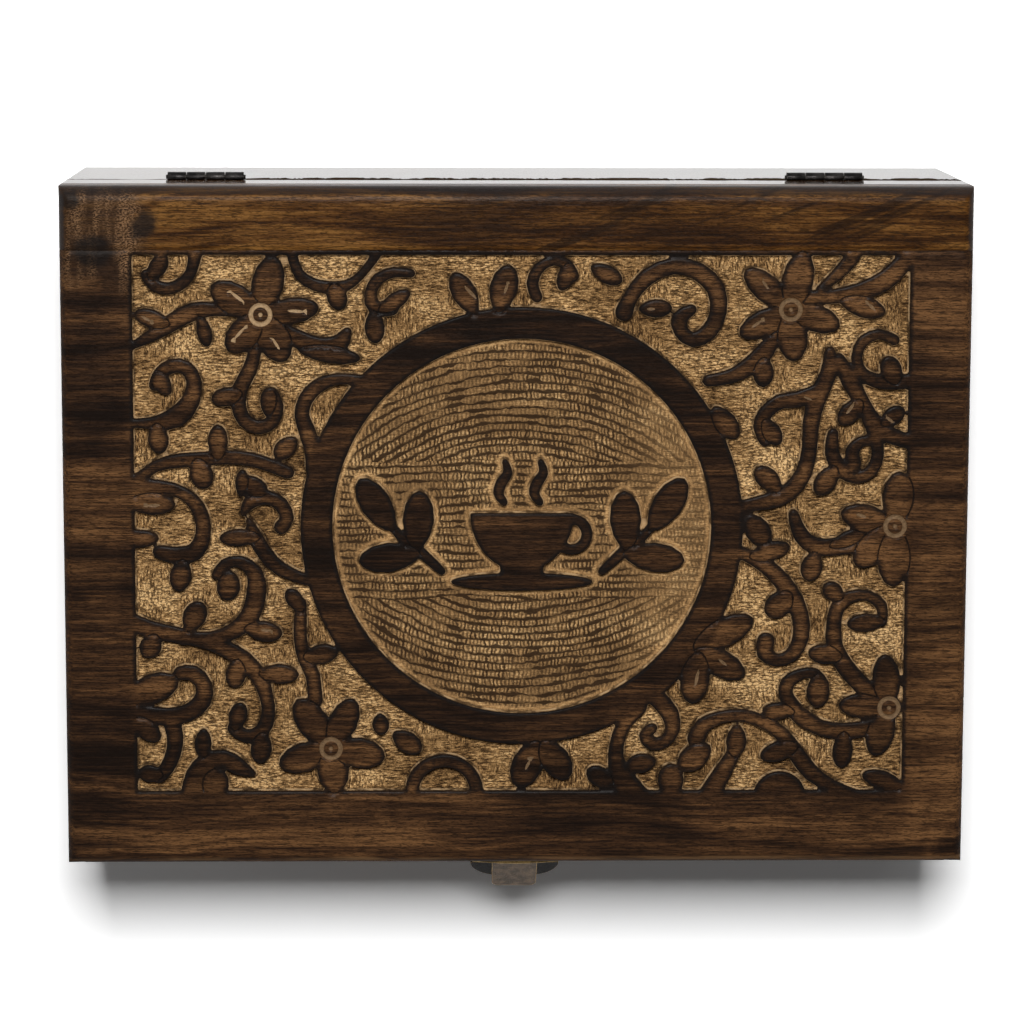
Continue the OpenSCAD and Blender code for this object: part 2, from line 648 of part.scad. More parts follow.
module cup() {
    cup_bottom = cup_top - cup_h;
    saucer_y = cup_bottom - cup_foot_h;
    intersection() {
        translate([0, cup_top])
            scale([cup_w / 2, cup_h])
                circle(r = 1, $fn = 44);
        translate([-cup_w / 2, cup_bottom])
            square([cup_w, cup_h]);
    }
    translate([cup_w / 2 - handle_r / 10, cup_top - handle_drop])
        difference() {
            circle(r = handle_r, $fn = 28);
            circle(r = handle_r / 2, $fn = 20);
        }
    translate([-cup_foot_w / 2, saucer_y])
        square([cup_foot_w, cup_foot_h + 1]);
    translate([0, saucer_y])
        scale([saucer_w / 2, saucer_h / 2])
            circle(r = 1, $fn = 32);
    for (x = [-5, 5])
        vine([[x, 7, 2], [x - 1.6, 9.6, 2.8], [x - 0.8, 12.6, 3], [x + 1, 15.4, 2.6],
              [x + 0.2, 18.6, 1.6]], 3);
}

// A sprig of three leaves beside the cup
module sprig() {
    vine([[22.5, -12.5, 2.2], [28, -7.4, 3], [34, -2.6, 2.6], [39, 3.5, 2]]);
    leaf([36, -1], [45.6, 13.8], 8.6);
    leaf([29.5, -6.5], [28.6, 10.4], 8.8);
    leaf([28.5, -7.5], [45.8, -9.6], 8.4);
}

// Everything that is left standing inside the pocket
module relief() {
    translate(ring_mid)
        difference() {
            circle(r = ring_d / 2, $fn = 96);
            circle(r = ring_d / 2 - ring_band, $fn = 88);
        }
    for (v = vines)
        vine(v);
    for (l = leaves)
        leaf(l[0], l[1], l[2]);
    for (f = flowers)
        flower(f[0], f[1]);
    front_arches();
    translate(ring_mid) {
        cup();
        sprig();
        mirror([1, 0])
            sprig();
    }
}

// The ground cut away round the relief, without gaps too narrow to carve
module ground() {
    offset(delta = gap_min / 2)
        offset(delta = -gap_min / 2)
            difference() {
                translate(pocket_mid - pocket_size / 2)
                    square(pocket_size);
                relief();
            }
}

// Grooves that leave an eye in the middle of each flower
module eye_grooves() {
    for (f = flowers)
        translate(concat(at(f[0]), face_z - eye_depth))
            difference() {
                cylinder(r = eye_r, h = eye_depth + cut);
                translate([0, 0, -cut])
                    cylinder(r = eye_r - eye_groove, h = eye_depth + 3 * cut);
            }
}

module lid_top() {
    color(wood_dark)
        difference() {
            board_piece(front_y - cut, strip_y);
            translate([0, 0, face_z - carve_depth])
                linear_extrude(carve_depth + cut)
                    ground();
            eye_grooves();
        }
}

module lid_back_strip() {
    color(wood_mid)
        board_piece(strip_y, back_y + cut);
}

// -------------------------------------------------------------- hinges

// Start of knuckle i along a hinge whose middle is at x = 0
function knuckle_x(i) = -hinge_l / 2 + i * (knuckle_l + knuckle_gap);

// A cylinder along X on the hinge line
module on_hinge_line(x, len, r) {
    translate([x, hinge_y, hinge_z])
        rotate([0, 90, 0])
            cylinder(r = r, h = len);
}

// Mortise for one leaf and the clearance for the knuckles
module hinge_mortise(z) {
    len = hinge_l + 2 * knuckle_clear;
    translate([-hinge_l / 2 - glue_gap, leaf_y - glue_gap, z])
        cube([hinge_l + 2 * glue_gap, leaf_in + cut, leaf_t + cut]);
    on_hinge_line(-len / 2, len, knuckle_r + knuckle_clear);
}

// A leaf with every second knuckle: first is 0 on the base, 1 on the lid
module hinge_leaf(z, first) {
    difference() {
        union() {
            translate([-hinge_l / 2, leaf_y, z])
                cube([hinge_l, hinge_y - leaf_y, leaf_t]);
            on_hinge_line(-hinge_l / 2, hinge_l, knuckle_r);
        }
        for (i = [1 - first:2:knuckle_n - 1])
            on_hinge_line(knuckle_x(i) - knuckle_gap, knuckle_l + 2 * knuckle_gap,
                          knuckle_r + knuckle_clear);
        on_hinge_line(-hinge_l, 2 * hinge_l, hinge_pin_r + pin_play);
    }
}

module base_leaf(x) {
    color(bronze)
        difference() {
            translate([x, 0, 0])
                hinge_leaf(base_h - leaf_t, 0);
            base_screw_places()
                screw_hole();
        }
}

module lid_leaf(x) {
    color(bronze)
        difference() {
            translate([x, 0, 0])
                hinge_leaf(lid_z, 1);
            lid_screw_places()
                screw_hole();
        }
}

module hinge_pin(x) {
    color(bronze)
        translate([x, 0, 0])
            on_hinge_line(-hinge_l / 2 - pin_proud, hinge_l + 2 * pin_proud, hinge_pin_r);
}

// A countersunk screw that points down, with its head's face at top
module screw(play, top) {
    r = screw_r + play;
    head_r = screw_head_r + play;
    rotate_extrude()
        polygon([
            [0, -screw_l], [r, -screw_l], [r, -screw_rim - screw_head_h],
            [head_r, -screw_rim], [head_r, top], [0, top]
        ]);
}

module screw_hole() { screw(screw_play, cut); }

// The places of the screws in the base's leaves, and in the lid's
module base_screw_places() {
    for (x = [-hinge_x, hinge_x], s = [-1, 1])
        translate([x + s * screw_spacing / 2, leaf_mid_y, base_h])
            children();
}

module lid_screw_places() {
    for (x = [-hinge_x, hinge_x], s = [-1, 1])
        translate([x + s * screw_spacing / 2, leaf_mid_y, lid_z])
            rotate([180, 0, 0])
                children();
}

module hinge_left_base_leaf() { base_leaf(-hinge_x); }
module hinge_right_base_leaf() { base_leaf(hinge_x); }
module hinge_left_lid_leaf() { lid_leaf(-hinge_x); }
module hinge_right_lid_leaf() { lid_leaf(hinge_x); }
module hinge_left_pin() { hinge_pin(-hinge_x); }
module hinge_right_pin() { hinge_pin(hinge_x); }
module hinge_screws_base() { color(steel) base_screw_places() screw(0, 0); }
module hinge_screws_lid() { color(steel) lid_screw_places() screw(0, 0); }

// --------------------------------------------------------------- latch

// A cylinder along X on the latch's pivot line
module on_pivot_line(x, len, r) {
    translate([x, pivot_y, pivot_z])
        rotate([0, 90, 0])
            cylinder(r = r, h = len);
}

// The bowed plate on the lid, with a knuckle at each side. Its opening lets
// the root of the tongue pass when the flap is swung right up.
module latch_plate() {
    bow_r = (pow(latch_w / 2, 2) + pow(latch_bow, 2)) / (2 * latch_bow);
    open_h = max(latch_knuckle_r, flap_inner + tongue_t) + latch_clear;
    color(brass)
        difference() {
            union() {
                intersection() {
                    translate([0, front_y - latch_bow + bow_r, pivot_z])
                        difference() {
                            cylinder(r = bow_r + latch_t, h = latch_plate_h, $fn = 200);
                            translate([0, 0, -cut])
                                cylinder(r = bow_r, h = latch_plate_h + 2 * cut, $fn = 200);
                        }
                    translate([-latch_w / 2, front_y - latch_bow - 2 * latch_t, pivot_z])
                        cube([latch_w, latch_bow + 2 * latch_t, latch_plate_h]);
                }
                for (x = [-latch_w / 2, side_knuckle_x])
                    on_pivot_line(x, latch_w / 2 - side_knuckle_x, latch_knuckle_r);
            }
            translate([-side_knuckle_x, front_y - 2 * latch_out, pivot_z - cut])
                cube([2 * side_knuckle_x, 2 * latch_out, cut + open_h]);
            on_pivot_line(-latch_w, 2 * latch_w, latch_pin_r + pin_play);
            plate_nail_holes();
        }
}

// Outline of the flap's wings, hanging down from the pivot at [0, 0]
module wing_outline() {
    top = latch_knuckle_r + latch_clear;
    r = wing_l - top;
    intersection() {
        translate([-wing_span / 2, -wing_l])
            square([wing_span, r]);
        union() {
            for (s = [-1, 1])
                translate([s * (wing_span / 2 - r), -top])
                    circle(r = r);
            translate([r - wing_span / 2, -wing_l])
                square([wing_span - 2 * r, r]);
        }
    }
}

// Outline of the tongue, with its two lower corners rounded
module tongue_outline() {
    translate([-tongue_w / 2, tongue_r - tongue_l])
        square([tongue_w, tongue_l - tongue_r]);
    translate([tongue_r - tongue_w / 2, -tongue_l])
        square([tongue_w - 2 * tongue_r, tongue_r]);
    for (s = [-1, 1])
        translate([s * (tongue_w / 2 - tongue_r), tongue_r - tongue_l])
            circle(r = tongue_r);
}

// The flap hanging straight down, with its pivot at the origin
module flap_hanging() {
    toe_w = tongue_w - 2 * tongue_r;
    difference() {
        union() {
            rotate([0, 90, 0])
                translate([0, 0, -tongue_w / 2])
                    cylinder(r = latch_knuckle_r, h = tongue_w);
            translate([0, -flap_inner, 0])
                rotate([90, 0, 0])
                    linear_extrude(wing_t)
                        wing_outline();
            translate([0, -flap_inner, 0])
                rotate([90, 0, 0])
                    linear_extrude(tongue_t)
                        tongue_outline();
            intersection() {
                rotate([0, 90, 0])
                    translate([0, 0, -toe_w / 2])
                        difference() {
                            cylinder(r = tongue_l, h = toe_w);
                            translate([0, 0, -cut])
                                cylinder(r = toe_in, h = toe_w + 2 * cut);
                        }
                translate([-toe_w / 2, -flap_inner - tongue_t / 2, -tongue_l])
                    cube([toe_w, flap_inner + tongue_t / 2 + toe_back, tongue_l]);
            }
        }
        rotate([0, 90, 0])
            translate([0, 0, -latch_w])
                cylinder(r = latch_pin_r + pin_play, h = 2 * latch_w);
    }
}

module latch_flap() {
    color(brass)
        translate([0, pivot_y, pivot_z])
            rotate([-flap_swing, 0, 0])
                flap_hanging();
}

module latch_pin() {
    color(bronze)
        on_pivot_line(-latch_w / 2, latch_w, latch_pin_r);
}

// The plate on the base with the ledge that the toe hooks under
module latch_catch() {
    color(brass)
        difference() {
            union() {
                translate([-catch_w / 2, front_y - catch_t, catch_bottom])
                    cube([catch_w, catch_t, catch_top - catch_bottom]);
                translate([-tongue_w / 2, front_y - ledge_out, ledge_z])
                    cube([tongue_w, ledge_out, ledge_t]);
            }
            catch_nail_holes();
        }
}

// A nail's shank or, with a play, its hole, from the wood to a face that
// stands out in front
module nail_shank(x, z, out, play) {
    translate([x, front_y + nail_l + play, z])
        rotate([90, 0, 0])
            cylinder(r = nail_r + play, h = nail_l + out + play);
}

// A nail whose head lies on that face
module nail(x, z, out) {
    nail_shank(x, z, out + nail_head_h / 2, 0);
    translate([x, front_y - out, z])
        rotate([90, 0, 0])
            cylinder(r1 = nail_head_r, r2 = nail_head_r / 2, h = nail_head_h);
}

module plate_nail_holes() {
    for (s = [-1, 1])
        nail_shank(s * plate_nail_x, plate_nail_z, latch_bow + latch_t, screw_play);
}

module catch_nail_holes() {
    for (s = [-1, 1])
        nail_shank(s * catch_nail_x, catch_nail_z, catch_t + cut, screw_play);
}

module latch_nails_lid() {
    rim_x = plate_nail_x - nail_head_r;
    out = latch_bow * (1 - pow(rim_x / (latch_w / 2), 2)) + latch_t;
    color(brass)
        for (s = [-1, 1])
            nail(s * plate_nail_x, plate_nail_z, out);
}

module latch_nails_base() {
    color(brass)
        for (s = [-1, 1])
            nail(s * catch_nail_x, catch_nail_z, catch_t);
}

base_front_wall();
base_back_wall();
base_left_wall();
base_right_wall();
base_bottom();
divider_long();
divider_cross_left();
divider_cross_right();
lid_top();
lid_back_strip();
lid_front_rail();
lid_back_rail();
lid_left_rail();
lid_right_rail();
hinge_left_base_leaf();
hinge_left_lid_leaf();
hinge_left_pin();
hinge_right_base_leaf();
hinge_right_lid_leaf();
hinge_right_pin();
hinge_screws_base();
hinge_screws_lid();
latch_plate();
latch_flap();
latch_pin();
latch_catch();
latch_nails_lid();
latch_nails_base();
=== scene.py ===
import math

import bpy
import numpy as np
from mathutils import Matrix, Vector
from mathutils.geometry import delaunay_2d_cdt


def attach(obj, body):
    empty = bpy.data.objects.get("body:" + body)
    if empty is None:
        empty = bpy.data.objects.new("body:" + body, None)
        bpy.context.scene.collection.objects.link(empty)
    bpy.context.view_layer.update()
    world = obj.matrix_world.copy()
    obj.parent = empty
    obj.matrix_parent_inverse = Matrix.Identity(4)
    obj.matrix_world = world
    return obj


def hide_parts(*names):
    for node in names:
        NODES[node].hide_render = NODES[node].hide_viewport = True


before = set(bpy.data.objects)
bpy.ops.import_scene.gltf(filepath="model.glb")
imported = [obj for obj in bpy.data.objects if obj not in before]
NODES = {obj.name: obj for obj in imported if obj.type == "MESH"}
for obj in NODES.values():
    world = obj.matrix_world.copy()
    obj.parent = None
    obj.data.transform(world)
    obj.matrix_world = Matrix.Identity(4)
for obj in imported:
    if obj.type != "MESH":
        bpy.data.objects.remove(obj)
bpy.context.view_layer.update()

MM = 0.001

# ------------ camera
# Fitted to the lid's corners, the hinges and the latch: almost straight down.
CAM_ROWS = ((0.999821309, 0.00235210858, 0.0187568278),
            (0.000499294538, 0.988596973, -0.150584777),
            (-0.018897135, 0.150567234, 0.988419145))
CAM_AT = (-0.0214256, 0.1652206, 1.1370547)

FOCAL, SENSOR = 133.6, 36.0   # mm
NEAR, FAR = 0.05, 20.0        # m


def placed(name, data):
    """A new object in the scene."""
    ob = bpy.data.objects.new(name, data)
    bpy.context.scene.collection.objects.link(ob)
    return ob


cam = bpy.data.cameras.new("photo_camera")
cam.lens, cam.sensor_width, cam.sensor_fit = FOCAL, SENSOR, "HORIZONTAL"
cam.clip_start, cam.clip_end = NEAR, FAR
cam_ob = placed("photo_camera", cam)
cam_ob.matrix_world = Matrix.Translation(CAM_AT) @ Matrix(CAM_ROWS).transposed().to_4x4()
bpy.context.scene.camera = cam_ob


# ------------ material building
class Graph:
    """A node tree, with short calls for the nodes that it is made of."""

    def __init__(self, owner):
        owner.use_nodes = True
        self.tree = owner.node_tree
        self.tree.nodes.clear()

    def node(self, kind, ins=None, **props):
        n = self.tree.nodes.new(kind)
        for k, v in props.items():
            setattr(n, k, v)
        for k, v in (ins or {}).items():
            self.put(n.inputs[k], v)
        return n

    def put(self, socket, v):
        if isinstance(v, bpy.types.NodeSocket):
            self.tree.links.new(v, socket)
        elif isinstance(v, (tuple, list)) and socket.type == "RGBA":
            socket.default_value = (*v[:3], 1.0)
        else:
            socket.default_value = v

    def math(self, op, *values):
        return self.node("ShaderNodeMath", dict(enumerate(values)), operation=op).outputs[0]


class Shade(Graph):
    """A material, with its place on the object in millimetres."""

    def __init__(self, name):
        self.mat = bpy.data.materials.new(name)
        super().__init__(self.mat)
        self.out = self.node("ShaderNodeOutputMaterial")
        place = self.node("ShaderNodeTexCoord").outputs["Object"]
        self.mm = self.vmath("MULTIPLY", place, (1 / MM,) * 3)
        self.x, self.y, self.z = self.node("ShaderNodeSeparateXYZ", {0: self.mm}).outputs

    def finished(self, shader):
        self.put(self.out.inputs[0], shader.outputs[0])
        return self.mat

    def mul(self, a, b):
        return self.math("MULTIPLY", a, b)

    def mad(self, a, b, c):
        return self.math("MULTIPLY_ADD", a, b, c)

    def add(self, a, b):
        return self.math("ADD", a, b)

    def sub(self, a, b):
        return self.math("SUBTRACT", a, b)

    def vmath(self, op, *values):
        out = self.node("ShaderNodeVectorMath", dict(enumerate(values)), operation=op).outputs
        return out["Value"] if op in ("LENGTH", "DISTANCE", "DOT_PRODUCT") else out[0]

    def stretch(self, k):
        """The place in millimetres times k = (kx, ky, kz)."""
        return self.vmath("MULTIPLY", self.mm, k)

    def xyz(self, x, y, z=0.0):
        return self.node("ShaderNodeCombineXYZ", {0: x, 1: y, 2: z}).outputs[0]

    def noise(self, vec, scale=1.0, detail=3.0, rough=0.55, bend=0.0):
        return self.node("ShaderNodeTexNoise", {
            "Vector": vec, "Scale": scale, "Detail": detail, "Roughness": rough,
            "Distortion": bend}).outputs[0]

    def streaks(self, k, detail=3.0, rough=0.55, bend=0.0):
        return self.noise(self.stretch(k), 1.0, detail, rough, bend)

    def cells(self, vec):
        return self.node("ShaderNodeTexVoronoi", {"Vector": vec, "Scale": 1.0}).outputs["Distance"]

    def step(self, v, a, b, lo=0.0, hi=1.0):
        """A soft step of v from a to b, which gives lo to hi."""
        return self.node("ShaderNodeMapRange", {0: v, 1: a, 2: b, 3: lo, 4: hi},
                         interpolation_type="SMOOTHSTEP", clamp=True).outputs[0]

    def ramp(self, v, stops):
        n = self.node("ShaderNodeValToRGB", {0: v})
        e = n.color_ramp.elements
        while len(e) < len(stops):
            e.new(0.5)
        for el, (p, c) in zip(e, stops):
            el.position, el.color = p, (*c, 1.0)
        return n.outputs[0]

    def mix(self, f, a, b):
        """Colour a where f is 0, colour b where it is 1."""
        n = self.node("ShaderNodeMix", data_type="RGBA")
        for i, v in ((0, f), (6, a), (7, b)):
            self.put(n.inputs[i], v)
        return n.outputs[2]

    def blendf(self, f, a, b):
        """The same for two plain values."""
        return self.node("ShaderNodeMix", {0: f, 2: a, 3: b}, data_type="FLOAT").outputs[0]

    def attr(self, name):
        return self.node("ShaderNodeAttribute", attribute_name=name).outputs["Fac"]

    def worn(self, radius, lo=0.02, hi=0.25):
        """1 on an edge, 0 on a flat, from how far a rounded normal leaves the face's."""
        soft = self.node("ShaderNodeBevel", {"Radius": radius}, samples=4).outputs[0]
        true = self.node("ShaderNodeNewGeometry").outputs["True Normal"]
        return self.step(self.sub(1.0, self.vmath("DOT_PRODUCT", soft, true)), lo, hi)

    def patch(self, x, y, rx, ry, fuzz=0.35):
        """1 inside a soft, uneven oval about (x, y), 0 outside it."""
        at = self.xyz(self.math("DIVIDE", self.sub(self.x, x), rx),
                      self.math("DIVIDE", self.sub(self.y, y), ry))
        r = self.vmath("LENGTH", at)
        r = self.add(r, self.mad(self.noise(self.mm, 0.16, 3.0), 2 * fuzz, -fuzz))
        return self.step(r, 1.05, 0.55)

    def surface(self, color, rough, height, depth, spec, metal=0.0, coat=0.0, coat_rough=0.3):
        """The finished material; height 0 to 1 stands for depth in mm."""
        bump = self.node("ShaderNodeBump", {"Strength": 1.0, "Distance": depth * MM,
                                            "Height": height})
        return self.finished(self.node("ShaderNodeBsdfPrincipled", {
            "Base Color": color, "Roughness": rough, "Metallic": metal,
            "Specular IOR Level": spec, "Coat Weight": coat, "Coat Roughness": coat_rough,
            "Coat IOR": 1.3, "Normal": bump.outputs[0]}))


# ------------ woods
# Colours are linear. Each palette runs from the darkest streak to the lightest.
BURNT = ((0.0085, 0.0048, 0.0032), (0.027, 0.0130, 0.0068), (0.064, 0.0295, 0.0125),
         (0.165, 0.078, 0.030))
WARM = ((0.0105, 0.0046, 0.0018), (0.036, 0.0130, 0.0030), (0.086, 0.0340, 0.0070),
        (0.220, 0.100, 0.024))
RAW = ((0.200, 0.120, 0.060), (0.330, 0.215, 0.120), (0.430, 0.295, 0.170),
       (0.540, 0.390, 0.240))
TONES = (0.40, 0.50, 0.59, 0.72)   # where each of a palette's colours stands
CHAR = (0.0080, 0.0062, 0.0055)
RUBBED = (0.20, 0.105, 0.045)   # arrises where the varnish is worn away
ALONG_X, ALONG_Y = 0, 1         # which way the grain runs
SEAM_Z = 56.95                  # mm, the middle of the gap between base and lid


def grain(s, along, pith, ring, shift):
    """Growth rings, fibres, pore dashes and scorched blotches for a board whose
    grain runs along one axis: four values from 0 to 1."""
    axes = [s.x, s.y, s.z]
    length = axes.pop(along)
    across, deep = axes
    bend = s.noise(s.xyz(s.mul(length, 0.012), s.mul(across, 0.03), shift), 1.0, 2.0)
    bend = s.mad(bend, 16.0, -8.0)
    a, d = s.sub(across, pith[0]), s.sub(deep, pith[1])
    r = s.add(s.math("SQRT", s.add(s.mul(a, a), s.mul(d, d))), bend)
    rings_at = s.xyz(s.mul(length, 0.006), s.math("DIVIDE", r, ring), shift + 3.0)
    rings = s.noise(rings_at, 1.0, 3.0, 0.62)
    fibre_at = s.xyz(s.mul(length, 0.06), s.mul(across, 1.7), s.mul(deep, 1.7))
    fibre = s.noise(fibre_at, 1.0, 4.0, 0.6)
    dash_at = s.xyz(s.mul(length, 0.30), s.mul(across, 3.1), s.mad(deep, 3.1, shift))
    dash = s.step(s.noise(dash_at, 1.0, 2.0, 0.5), 0.54, 0.66)
    slant = s.mad(length, 0.25, s.mul(bend, 1.5))
    tick_at = s.xyz(s.mul(length, 0.75), s.mul(s.add(across, s.mul(slant, 0.3)), 5.5),
                    s.mad(deep, 5.5, shift + 8.0))
    tick = s.step(s.noise(tick_at, 1.0, 1.0, 0.5), 0.57, 0.68)
    dash = s.math("MAXIMUM", dash, s.mul(tick, 0.8))
    blot = s.streaks((0.017, 0.024, 0.02), 3.0, 0.6, 0.6)
    return rings, fibre, dash, blot


def wood_color(s, palette, rings, fibre, dash, blot, scorch, lift):
    """The palette's colours by the grain's four values; lift makes all of it lighter."""
    tone = s.add(s.mul(rings, 0.62), s.mul(fibre, 0.46))
    tone = s.add(s.add(tone, s.mad(blot, -0.30, 0.15)), lift)
    color = s.ramp(tone, tuple(zip(TONES, palette)))
    color = s.mix(s.mul(dash, 0.78), color, palette[0])
    burn = s.step(blot, 0.50, 0.70)
    return s.mix(s.mul(burn, scorch), color, palette[0])


def wood(name, palette, along, pith, ring, shift, scorch=0.5, rough=0.42, coat=0.26,
         coat_rough=0.22, edge=RUBBED, wear=0.5, lift=0.0, patches=(), strip=False, seam=False):
    """Varnished or bare wood for a plain board, with worn arrises."""
    s = Shade(name)
    rings, fibre, dash, blot = grain(s, along, pith, ring, shift)
    for x, y, rx, ry, up in patches:
        lift = s.mad(s.patch(x, y, rx, ry), up, lift)
    color = wood_color(s, palette, rings, fibre, dash, blot, scorch, lift)
    if strip:
        color, coat = strip_marks(s, color, coat, palette[0])
    rub = s.mul(s.worn(0.7 * MM), s.step(s.noise(s.mm, 0.11, 3.0), 0.38, 0.62))
    color = s.mix(s.mul(rub, wear), color, edge)
    r = s.add(rough, s.mul(s.sub(fibre, 0.5), 0.35))
    h = s.sub(s.mul(fibre, 0.5), s.mul(dash, 0.8))
    if seam:
        color, r, h, coat = seam_marks(s, color, r, h, coat, fibre)
    return s.surface(color, r, h, 0.12, 0.04, coat=coat, coat_rough=coat_rough)


def strip_marks(s, color, coat, streak):
    """Diagonal figure, end grain and a scorched back edge, for the lid's back strip."""
    diagonal_at = s.xyz(s.mad(s.x, 0.045, s.mul(s.y, -0.11)), s.mul(s.y, 0.02))
    diagonal = s.step(s.noise(diagonal_at, 1.0, 3.0, 0.7), 0.56, 0.63)
    diagonal = s.mul(diagonal, s.step(s.x, -30.0, 10.0))
    color = end_grain(s, s.mix(s.mul(diagonal, 0.7), color, streak))
    low = s.add(s.z, s.mad(s.noise(s.mm, 0.3, 3.0), 0.8, -0.4))
    band = s.mul(s.step(low, 84.85, 84.3, 0.0, 0.75), s.step(s.z, 79.0, 81.5))
    color = s.mix(band, color, (0.0125, 0.0085, 0.0075))
    return color, s.step(s.z, 84.9, 84.5, 0.25 * coat, 1.3 * coat)


def seam_marks(s, color, rough, height, coat, fibre):
    """Bare, scorched wood along the uneven edges of the seam behind."""
    ragged = s.streaks((0.05, 0.0, 0.0), 5.0, 0.75)
    broad = s.step(s.x, -84.0, -66.0, 0.25, 1.0)
    below = s.math("LESS_THAN", s.z, SEAM_Z)
    reach = s.mul(s.step(ragged, 0.36, 0.56, 1.6, 10.0), broad)
    reach = s.mul(reach, s.mad(below, 0.8, 0.2))
    off = s.sub(s.math("ABSOLUTE", s.sub(s.z, SEAM_Z)), reach)
    bare = s.step(off, 0.3, -0.3)
    color = s.mix(bare, color, s.mix(fibre, (0.012, 0.008, 0.006), (0.085, 0.048, 0.024)))
    fall = s.mul(s.mul(s.math("MINIMUM", off, 0.0), 3.4), below)
    return color, s.add(rough, s.mul(bare, 0.6)), s.add(height, fall), s.mad(bare, -coat, coat)


# Dark blotches in the lid's back left corner: x, y and half widths in mm
BLOTCHES = ((-103.5, 85, 5, 4.6), (-117, 78, 7, 5.5), (-124, 92, 4, 3))


def end_grain(s, color):
    """The speckled patch and the black blotches in the lid's back left corner."""
    where = s.patch(-116.0, 84.0, 17.0, 19.0)
    speck = s.step(s.streaks((1.5, 3.0, 2.0), 2.0, 0.6), 0.46, 0.56)
    column = s.step(s.streaks((0.22, 0.03, 0.1), 2.0), 0.36, 0.62)
    color = s.mix(s.mul(where, 0.75), color, (0.022, 0.0115, 0.0065))
    speck = s.mul(s.mul(where, speck), s.mul(column, 0.95))
    color = s.mix(speck, color, (0.230, 0.125, 0.060))
    for blotch in BLOTCHES:
        color = s.mix(s.mul(s.patch(*blotch, 0.5), 0.85), color, CHAR)
    return color


# ------------ metal
def metal(name, dark, mid, light, rough, speck, wear, wings=None):
    """Plated metal, speckled and brighter on its rims; black beyond x = wings, a painted dark
    reflection.
    """
    s = Shade(name)
    cloud = s.noise(s.mm, 0.35, 4.0, 0.6)
    spots = s.step(s.noise(s.mm, 3.4, 3.0, 0.7), 0.50, 0.60)
    brush = s.streaks((0.5, 5.0, 5.0))
    color = s.mix(s.step(cloud, 0.35, 0.65), mid, dark)
    color = s.mix(s.mul(spots, speck), color, dark)
    shine = 1.0
    if wings:
        # painted dark reflection: beyond x = wings the metal is black and barely metallic
        painted_dark_reflection = s.step(s.math("ABSOLUTE", s.x), wings, wings + 0.3, 0.0, 0.96)
        color = s.mix(painted_dark_reflection, color, (0.0035, 0.0030, 0.0028))
        shine = s.sub(1.0, painted_dark_reflection)
    rub = s.mul(s.worn(0.35 * MM, 0.01, 0.2), wear)
    color = s.mix(rub, color, light)
    r = s.add(rough, s.mul(s.add(spots, s.sub(brush, 0.5)), 0.22))
    r = s.sub(r, s.mul(rub, 0.08))
    h = s.add(s.mul(spots, -0.7), s.mul(brush, 0.4))
    return s.surface(color, r, h, 0.03, 0.05, metal=shine)


# ------------ the carved lid
# All in mm
FACE_Z, GROUND_Z, BOARD_Z = 85.0, 82.6, 73.0
HALF_W, FRONT_Y, STRIP_Y = 127.0, -96.0, 78.3
EDGE_R = 3.0                  # rounding of the front and side edges
BACK_Y, BACK_R = 96.0, 4.2    # the back face and the rounding above it
JOINT = 0.3                   # the broken edge along the glued back strip
JOINT_DROP = 0.14             # and its depth
CARVE = FACE_Z - GROUND_Z
POCKET = (-107.0, 109.5, -75.0, 77.0)
RING_MID, RING_OUT, RING_IN = (1.5, 0.5), 62.0, 53.2
CELL, REACH = 0.25, 3.4       # the distance field: its cells, and how far it is worked out
MARGIN, BLUR, TAPS = 4.0, 0.3, 4   # its border, and how it is smoothed
EYE_RIM, EYE_CORE, EYE_DOT = 3.5, 1.9, 0.9
CREASE = 0.42                 # half the width of a cut outline
ARRIS = 0.32                  # rounding along the relief's edges
CUT_HALF = 0.65               # half the width of a vein cut, as a share of its listed width
CREASE_DEEP, CUT_DEEP = 0.34, 0.75
# Lens-shaped vein cuts that show pale wood: from, to, width in mm
CUTS = (
    (-79.5, 66.7, -75.7, 63.7, 0.9), (-64, 61.5, -59, 61.2, 0.9), (-68, 53.8, -66, 50.5, 0.8),
    (-78.7, 53.5, -75.5, 57, 0.8), (-104.5, 60, -101.5, 58.5, 0.8),
    (-103.5, 6.8, -99.5, 6.9, 0.9), (-14.8, 68.5, -11.2, 64.7, 0.9),
    (-3.6, 66.2, -2.6, 69.2, 0.8), (68.1, 70, 69.6, 67.9, 0.8), (65.2, 56.8, 68.1, 58.8, 0.8),
    (97.5, 63.8, 99.8, 61.5, 0.9), (36, 62, 38.5, 62, 0.8), (95.1, 4.3, 98.3, 3.4, 1),
    (-72, -28.5, -69, -28.8, 0.9), (57, -37, 59.5, -39, 0.8), (51.5, -40, 50.5, -45, 0.9),
    (2.6, -69, 4, -66, 0.8), (103, 32, 105.5, 30, 0.8), (92, 32.5, 94.3, 35.6, 0.9),
    (80, 37.5, 82.5, 36.5, 0.6))
